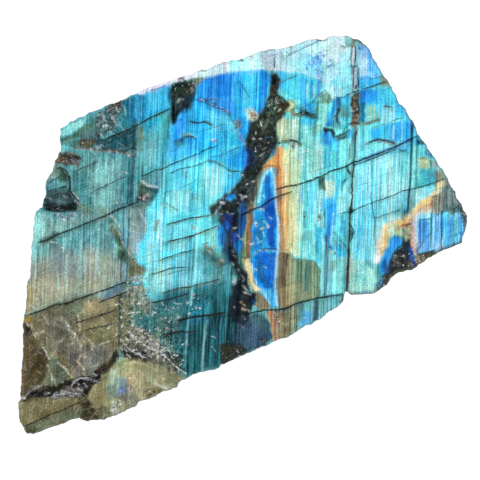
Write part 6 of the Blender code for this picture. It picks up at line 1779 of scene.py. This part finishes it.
# Specks and slivers. The pale specks and the slivers are painted glints, and the slivers' dark copies painted
# shadow.
# SOFT is how far their noise rises from none to full, and MORE how many more there are where the stone is
# broken. A SHIFT keeps two patterns apart.
SPECK, SPECK_SOFT, SPECK_MORE = dict(detail=2.5, roughness=0.65), 0.07, 0.24
DARK_SPECKS, DARK_SPECK_SHARE = dict(scale=1.5, rarest=0.69), 0.75
DARK_SPECK_SHIFT = (7.0, 3.0, 5.0)
GLINT_SPECKS, GLINT_SPECK_SHARE = dict(scale=2.4, rarest=0.75), 0.7
GLINT_SPECK_GAIN, GLINT_SPECK_LIFT = (1.3, 1.3, 1.3), (0.16, 0.17, 0.17)
SLIVERS = dict(size=1.05, rarest=0.75)
SLIVER_SOFT, SLIVER_MORE = 0.05, 0.30
BENDS, SLIVER_BEND = dict(scale=0.5, detail=3.0), (3.4, 3.4, 0)
SLIVER_PATCHES, SLIVER_PATCH_SHIFT = dict(scale=0.75, detail=1.0), (3.0, 11.0, 2.0)
SLIVER_EDGE = (0.075, 0.02)
SLIVER_SHARE, SLIVER_SHADOW_SHARE = 0.9, 0.8
SLIVER_SHADOW_SHIFT = (-0.2, 0.25, 0.0)

DARK_SPECK = (0.010, 0.012, 0.010, 1)
# The slivers' painted shadow, then their painted glint.
SLIVER_SHADOW = (0.012, 0.016, 0.012, 1)
SLIVER_GLINT = (0.86, 0.88, 0.84, 1)
CRACK = (0.010, 0.016, 0.015, 1)
PALE_RIDGE_GLINT_COLOUR = (0.70, 0.76, 0.72, 1)

CRACK_SHARE, CRACK_RANGE = 0.95, (0.13, 0.52)
CRACK_PATCHES, CRACK_PATCH_RANGE, CRACK_FAINTEST = dict(scale=1.6, detail=2.0), (0.25, 0.55), 0.5
PALE_RIDGE_GLINT_SHARE, PALE_RIDGE_GLINT_RANGE = 0.9, (0.15, 0.5)
PALE_RIDGE_GLINT_PATCHES, PALE_RIDGE_GLINT_PATCH_RANGE = dict(scale=1.5, detail=3.0, roughness=0.7), (0.44, 0.60)
SHADE_GAIN = 0.25
MOTTLE_ROUGHNESS, CRACK_ROUGHNESS = 0.08, 0.4
SPECULAR_LEVEL = 0.12
BUMP_STRENGTH, BUMP_DISTANCE = 0.5, 0.0001
RELIEF, GLINT_RELIEF = dict(scale=2.6, detail=4.0), 0.2


class Nodes:
    """Short calls for the nodes of one material."""

    def __init__(self, name):
        self.material = bpy.data.materials.new(name)
        self.material.use_nodes = True
        self.tree = self.material.node_tree
        self.shader = next(node for node in self.tree.nodes if node.type == "BSDF_PRINCIPLED")

    def set(self, socket, value):
        if isinstance(value, bpy.types.NodeSocket):
            self.tree.links.new(value, socket)
        else:
            socket.default_value = value

    def maths(self, operation, first, second=0.0, clamp=False):
        node = self.tree.nodes.new("ShaderNodeMath")
        node.operation, node.use_clamp = operation, clamp
        self.set(node.inputs[0], first)
        self.set(node.inputs[1], second)
        return node.outputs[0]

    def vector(self, operation, first, second):
        node = self.tree.nodes.new("ShaderNodeVectorMath")
        node.operation = operation
        self.set(node.inputs[0], first)
        self.set(node.inputs[1], second)
        return node.outputs[0]

    def turned(self, vector, angle):
        node = self.tree.nodes.new("ShaderNodeVectorRotate")
        node.rotation_type = "Z_AXIS"
        self.set(node.inputs["Vector"], vector)
        node.inputs["Angle"].default_value = angle
        return node.outputs[0]

    def noise(self, vector, scale=1.0, detail=2.0, roughness=0.5, output="Fac"):
        node = self.tree.nodes.new("ShaderNodeTexNoise")
        self.set(node.inputs["Vector"], vector)
        node.inputs["Scale"].default_value = scale
        node.inputs["Detail"].default_value = detail
        node.inputs["Roughness"].default_value = roughness
        return node.outputs[output]

    def ramp(self, value, low, high):
        """The value stretched so that low gives 0 and high gives 1."""
        node = self.tree.nodes.new("ShaderNodeMapRange")
        node.clamp = True
        self.set(node.inputs["Value"], value)
        self.set(node.inputs["From Min"], low)
        self.set(node.inputs["From Max"], high)
        return node.outputs[0]

    def mix(self, share, first, second, colour=False):
        node = self.tree.nodes.new("ShaderNodeMix")
        node.data_type = "RGBA" if colour else "FLOAT"
        kind = "RGBA" if colour else "VALUE"
        self.set(node.inputs["Factor"], share)
        ends = [socket for socket in node.inputs if socket.name in "AB" and socket.type == kind]
        self.set(ends[0], first)
        self.set(ends[1], second)
        return next(socket for socket in node.outputs if socket.type == kind)

    def mark(self, name, output="Fac"):
        """A value that is kept on the mesh's vertices."""
        node = self.tree.nodes.new("ShaderNodeAttribute")
        node.attribute_name = name
        return node.outputs[output]


def stripe_pattern(n, along):
    """The lamellae as noise drawn out along them, stretched to full contrast."""
    total = 0.0
    for across, down, weight in STRIPES:
        drawn = n.noise(n.vector("MULTIPLY", along, (across, down, THROUGH)), detail=STRIPE_DETAIL)
        total = n.maths("ADD", n.maths("MULTIPLY", drawn, weight), total)
    return n.ramp(total, *STRIPE_RANGE)


def mottle_pattern(n, place, glint):
    """Soft clouds, which turn to chaotic grains where the stone is broken."""
    cloud = n.ramp(n.noise(place, **CLOUDS), *CLOUD_RANGE)
    grains = n.ramp(n.noise(place, **CRUMBLE), *CRUMBLE_RANGE)
    return n.mix(n.maths("MULTIPLY", glint, 3.0, clamp=True), cloud, grains)


def specks(n, place, amount, scale, rarest):
    """Small grains, more of them where the amount is higher."""
    grain = n.noise(place, scale=scale, **SPECK)
    low = n.maths("SUBTRACT", rarest, n.maths("MULTIPLY", amount, SPECK_MORE))
    return n.ramp(grain, low, n.maths("ADD", low, SPECK_SOFT))


def slivers(n, place, amount, size, rarest):
    """Thin curved glints: short pieces of the edges between bent cells."""
    bend = n.vector("MULTIPLY", n.noise(place, output="Color", **BENDS), SLIVER_BEND)
    bent = n.vector("ADD", place, bend)
    cell = n.tree.nodes.new("ShaderNodeTexVoronoi")
    cell.feature = "DISTANCE_TO_EDGE"
    n.set(cell.inputs["Vector"], bent)
    cell.inputs["Scale"].default_value = 1 / size
    edge = n.ramp(cell.outputs["Distance"], *SLIVER_EDGE)
    kept = n.noise(n.vector("ADD", place, SLIVER_PATCH_SHIFT), **SLIVER_PATCHES)
    low = n.maths("SUBTRACT", rarest, n.maths("MULTIPLY", amount, SLIVER_MORE))
    return n.maths("MULTIPLY", edge, n.ramp(kept, low, n.maths("ADD", low, SLIVER_SOFT)))


def drawn_out(n, place, angle, across, down, low, high):
    """Thin lines along a direction, where a drawn-out noise peaks."""
    stretched = n.vector("MULTIPLY", n.turned(place, angle), (across, down, THROUGH))
    return n.ramp(n.noise(stretched, detail=STRIPE_DETAIL), low, high)


def scratch_glint_pattern(n, place):
    """Short pale nicks in a few directions, scratch-like and painted as glints."""
    total = 0.0
    for angle, across in SCRATCH_GLINT_TURNS:
        total = n.maths("MAXIMUM", drawn_out(n, place, angle, across, **SCRATCH_GLINT_NOISE), total)
    return total


def covered(n, colour, amount, share, cover):
    """The colour under another one, by this share of an amount."""
    return n.mix(n.maths("MULTIPLY", amount, share), colour, cover, colour=True)


def changed(n, colour, gain, lift):
    """The colour times a gain, plus a lift."""
    return n.vector("ADD", n.vector("MULTIPLY", colour, gain), lift)


def tinted(n, colour, share, gain, lift=0.0):
    """The colour changed by a gain and a lift, for this share."""
    return n.mix(share, colour, changed(n, colour, (gain,) * 3, (lift,) * 3), colour=True)


def grained(n, colour, place, streak):
    """Fine dark and light grain, more of it where the stone isn't streaked."""
    grain = n.ramp(n.noise(place, **GRAIN), *GRAIN_RANGE)
    gain = n.maths("ADD", n.maths("MULTIPLY", grain, GRAIN_GAIN), GRAIN_LEAST)
    dappled = n.vector("MULTIPLY", colour, gain)
    return n.mix(n.mix(streak, GRAIN_SHARE_PLAIN, GRAIN_SHARE_STREAKED), colour, dappled, colour=True)


def haired(n, colour, along, peak, streak):
    """Hair-fine pale and dark lines along the lamellae."""
    pale = n.maths("MULTIPLY", drawn_out(n, along, 0.0, **PALE_HAIRS), streak)
    bright = changed(n, peak, PALE_HAIR_GAIN, PALE_HAIR_LIFT)
    colour = covered(n, colour, pale, PALE_HAIR_SHARE, bright)
    shifted = n.vector("ADD", along, DARK_HAIR_SHIFT)
    dark = n.maths("MULTIPLY", drawn_out(n, shifted, 0.0, **DARK_HAIRS), streak)
    return tinted(n, colour, n.maths("MULTIPLY", dark, DARK_HAIR_SHARE), DARK_HAIR_GAIN)


def speckled(n, colour, place, peak, glint):
    """Dark grains, pale specks of painted glint, and curved painted glints with their painted shadows, where
    the stone is broken.
    """
    dark = specks(n, n.vector("ADD", place, DARK_SPECK_SHIFT), glint, **DARK_SPECKS)
    colour = covered(n, colour, dark, DARK_SPECK_SHARE, DARK_SPECK)
    lit = changed(n, peak, GLINT_SPECK_GAIN, GLINT_SPECK_LIFT)
    pale = specks(n, place, glint, **GLINT_SPECKS)
    colour = covered(n, colour, pale, GLINT_SPECK_SHARE, lit)
    curved = slivers(n, place, glint, **SLIVERS)
    shadow = slivers(n, n.vector("ADD", place, SLIVER_SHADOW_SHIFT), glint, **SLIVERS)
    colour = covered(n, colour, shadow, SLIVER_SHADOW_SHARE, SLIVER_SHADOW)
    return covered(n, colour, curved, SLIVER_SHARE, SLIVER_GLINT), pale, curved


def labradorite_colour(n, place, along, mottle):
    """Bright and dark lamellae between the two colours kept on the vertices, with lines, grains and painted
    glints.
    """
    streak, glint = n.mark("streak"), n.mark("glint")
    peak = n.mark("peak", "Color")
    pattern = n.mix(streak, mottle, n.mix(STRIPE_MOTTLE, stripe_pattern(n, along), mottle))
    colour = n.mix(pattern, n.mark("trough", "Color"), peak, colour=True)
    colour = grained(n, colour, place, streak)
    colour = haired(n, colour, along, peak, streak)
    cleavage = drawn_out(n, place, CLEAVAGE_LEAN + QUARTER_TURN, **CLEAVAGE)
    colour = tinted(n, colour, n.maths("MULTIPLY", cleavage, CLEAVAGE_SHARE), CLEAVAGE_GAIN)
    colour, pale, curved = speckled(n, colour, place, peak, glint)
    # Scratch-like pale nicks, brightened as painted glints.
    scratch_glints = n.maths("MULTIPLY", scratch_glint_pattern(n, place), n.mark("scratch_glint"))
    colour = tinted(n, colour, n.maths("MULTIPLY", scratch_glints, SCRATCH_GLINT_SHARE), SCRATCH_GLINT_GAIN, SCRATCH_GLINT_LIFT)
    return colour, n.maths("MAXIMUM", pale, curved)


def labradorite():
    """Polished labradorite, with its broken places rougher."""
    n = Nodes("labradorite")
    coordinates = n.tree.nodes.new("ShaderNodeTexCoord")
    place = n.vector("MULTIPLY", coordinates.outputs["Object"], (1 / MM, 1 / MM, 1 / MM))
    mottle = mottle_pattern(n, place, n.mark("glint"))
    colour, pale = labradorite_colour(n, place, n.turned(place, LAMELLA_LEAN), mottle)
    colour = tinted(n, colour, n.mark("shade"), SHADE_GAIN)
    uneven = n.ramp(n.noise(place, **CRACK_PATCHES), *CRACK_PATCH_RANGE)
    crack = n.maths("MULTIPLY", n.ramp(n.mark("crack"), *CRACK_RANGE), n.mix(CRACK_FAINTEST, 1.0, uneven))
    colour = covered(n, colour, crack, CRACK_SHARE, CRACK)
    # Pale fracture lines: partly painted highlight along the raised ridges, broken into pieces.
    broken = n.ramp(n.noise(place, **PALE_RIDGE_GLINT_PATCHES), *PALE_RIDGE_GLINT_PATCH_RANGE)
    pale_ridge_glint = n.maths("MULTIPLY", n.ramp(n.mark("pale_ridge_glint"), *PALE_RIDGE_GLINT_RANGE), broken)
    colour = covered(n, colour, pale_ridge_glint, PALE_RIDGE_GLINT_SHARE, PALE_RIDGE_GLINT_COLOUR)
    n.set(n.shader.inputs["Base Color"], colour)
    rough = n.maths("ADD", n.mark("rough"), n.maths("MULTIPLY", mottle, MOTTLE_ROUGHNESS))
    rough = n.maths("ADD", rough, n.maths("MULTIPLY", crack, CRACK_ROUGHNESS), clamp=True)
    n.set(n.shader.inputs["Roughness"], rough)
    n.shader.inputs["Specular IOR Level"].default_value = SPECULAR_LEVEL
    bump = n.tree.nodes.new("ShaderNodeBump")
    bump.inputs["Strength"].default_value = BUMP_STRENGTH
    bump.inputs["Distance"].default_value = BUMP_DISTANCE
    relief = n.maths("MULTIPLY", n.noise(place, **RELIEF), n.mark("rough"))
    n.set(bump.inputs["Height"], n.maths("ADD", relief, n.maths("MULTIPLY", pale, GLINT_RELIEF)))
    n.set(n.shader.inputs["Normal"], bump.outputs[0])
    return n.material


# --------------------------------------------------------------------------------------------------
# Ground, light and camera

FLOOR_RADIUS = 0.9
FLOOR_SIDES = 64
FLOOR_GAP = 0.0001
FLOOR_GREY, FLOOR_ROUGHNESS = 0.6, 0.9
FLOOR_GLOW = 0.75
SUNS = 6
SUN_POWER = 0.50
SUN_TILT = 0.785
SUN_SIZE = 0.52
GLARE_POWER = 0.40
GLARE_TILT = 0.44
GLARE_SIZE = 0.30
SOFTBOX_COLOUR = (0.92, 0.93, 1.0)
ROOM_COLOUR = (0.16, 0.16, 0.17, 1)
CAMERA_HEIGHT = 1.018
CAMERA_LENS, CAMERA_SENSOR = 300.0, 36.0  # in millimetres


def floor():
    """A round pale floor that glows a little, so that it shows white."""
    mesh = bpy.data.meshes.new("ground")
    around = np.linspace(0, 2 * np.pi, FLOOR_SIDES, endpoint=False)
    corners = [(FLOOR_RADIUS * np.cos(a), FLOOR_RADIUS * np.sin(a), -FLOOR_GAP) for a in around]
    mesh.from_pydata(corners, [], [list(range(FLOOR_SIDES))])
    n = Nodes("ground")
    n.shader.inputs["Base Color"].default_value = (FLOOR_GREY, FLOOR_GREY, FLOOR_GREY, 1)
    n.shader.inputs["Roughness"].default_value = FLOOR_ROUGHNESS
    n.shader.inputs["Emission Color"].default_value = (1, 1, 1, 1)
    n.shader.inputs["Emission Strength"].default_value = FLOOR_GLOW
    mesh.materials.append(n.material)
    found = bpy.data.objects.new("ground", mesh)
    bpy.context.scene.collection.objects.link(found)
    return found


def sun(name, tilt, turn, power, size, colour=(1, 1, 1)):
    """A wide sun that comes from this far off the zenith, from this bearing."""
    light = bpy.data.lights.new(name, "SUN")
    light.energy, light.angle, light.color = power, size, colour
    found = bpy.data.objects.new(name, light)
    found.rotation_euler = (tilt, 0, turn)
    bpy.context.scene.collection.objects.link(found)


def lights():
    """A ring of wide suns, one weak softbox and a dim room."""
    for k in range(SUNS):
        sun(f"soft_{k}", SUN_TILT, 2 * np.pi * (k + 0.5) / SUNS, SUN_POWER, SUN_SIZE)
    sun("softbox", GLARE_TILT, np.pi, GLARE_POWER, GLARE_SIZE, SOFTBOX_COLOUR)
    world = bpy.data.worlds.new("studio")
    world.use_nodes = True
    world.node_tree.nodes["Background"].inputs["Color"].default_value = ROOM_COLOUR
    bpy.context.scene.world = world


def camera():
    """A camera that looks straight down on the middle of the photograph's frame."""
    data = bpy.data.cameras.new("camera")
    data.lens, data.sensor_width = CAMERA_LENS, CAMERA_SENSOR
    found = bpy.data.objects.new("camera", data)
    across, up = to_mm(FRAME_MIDDLE)[0]
    found.location = (across * MM, up * MM, CAMERA_HEIGHT)
    bpy.context.scene.collection.objects.link(found)
    bpy.context.scene.camera = found


piece = stone_object()
piece.data.materials.append(labradorite())
ground = floor()
lights()
camera()
bpy.context.scene.view_settings.view_transform = "Standard"

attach(piece, "root")
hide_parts("labradorite_slab")
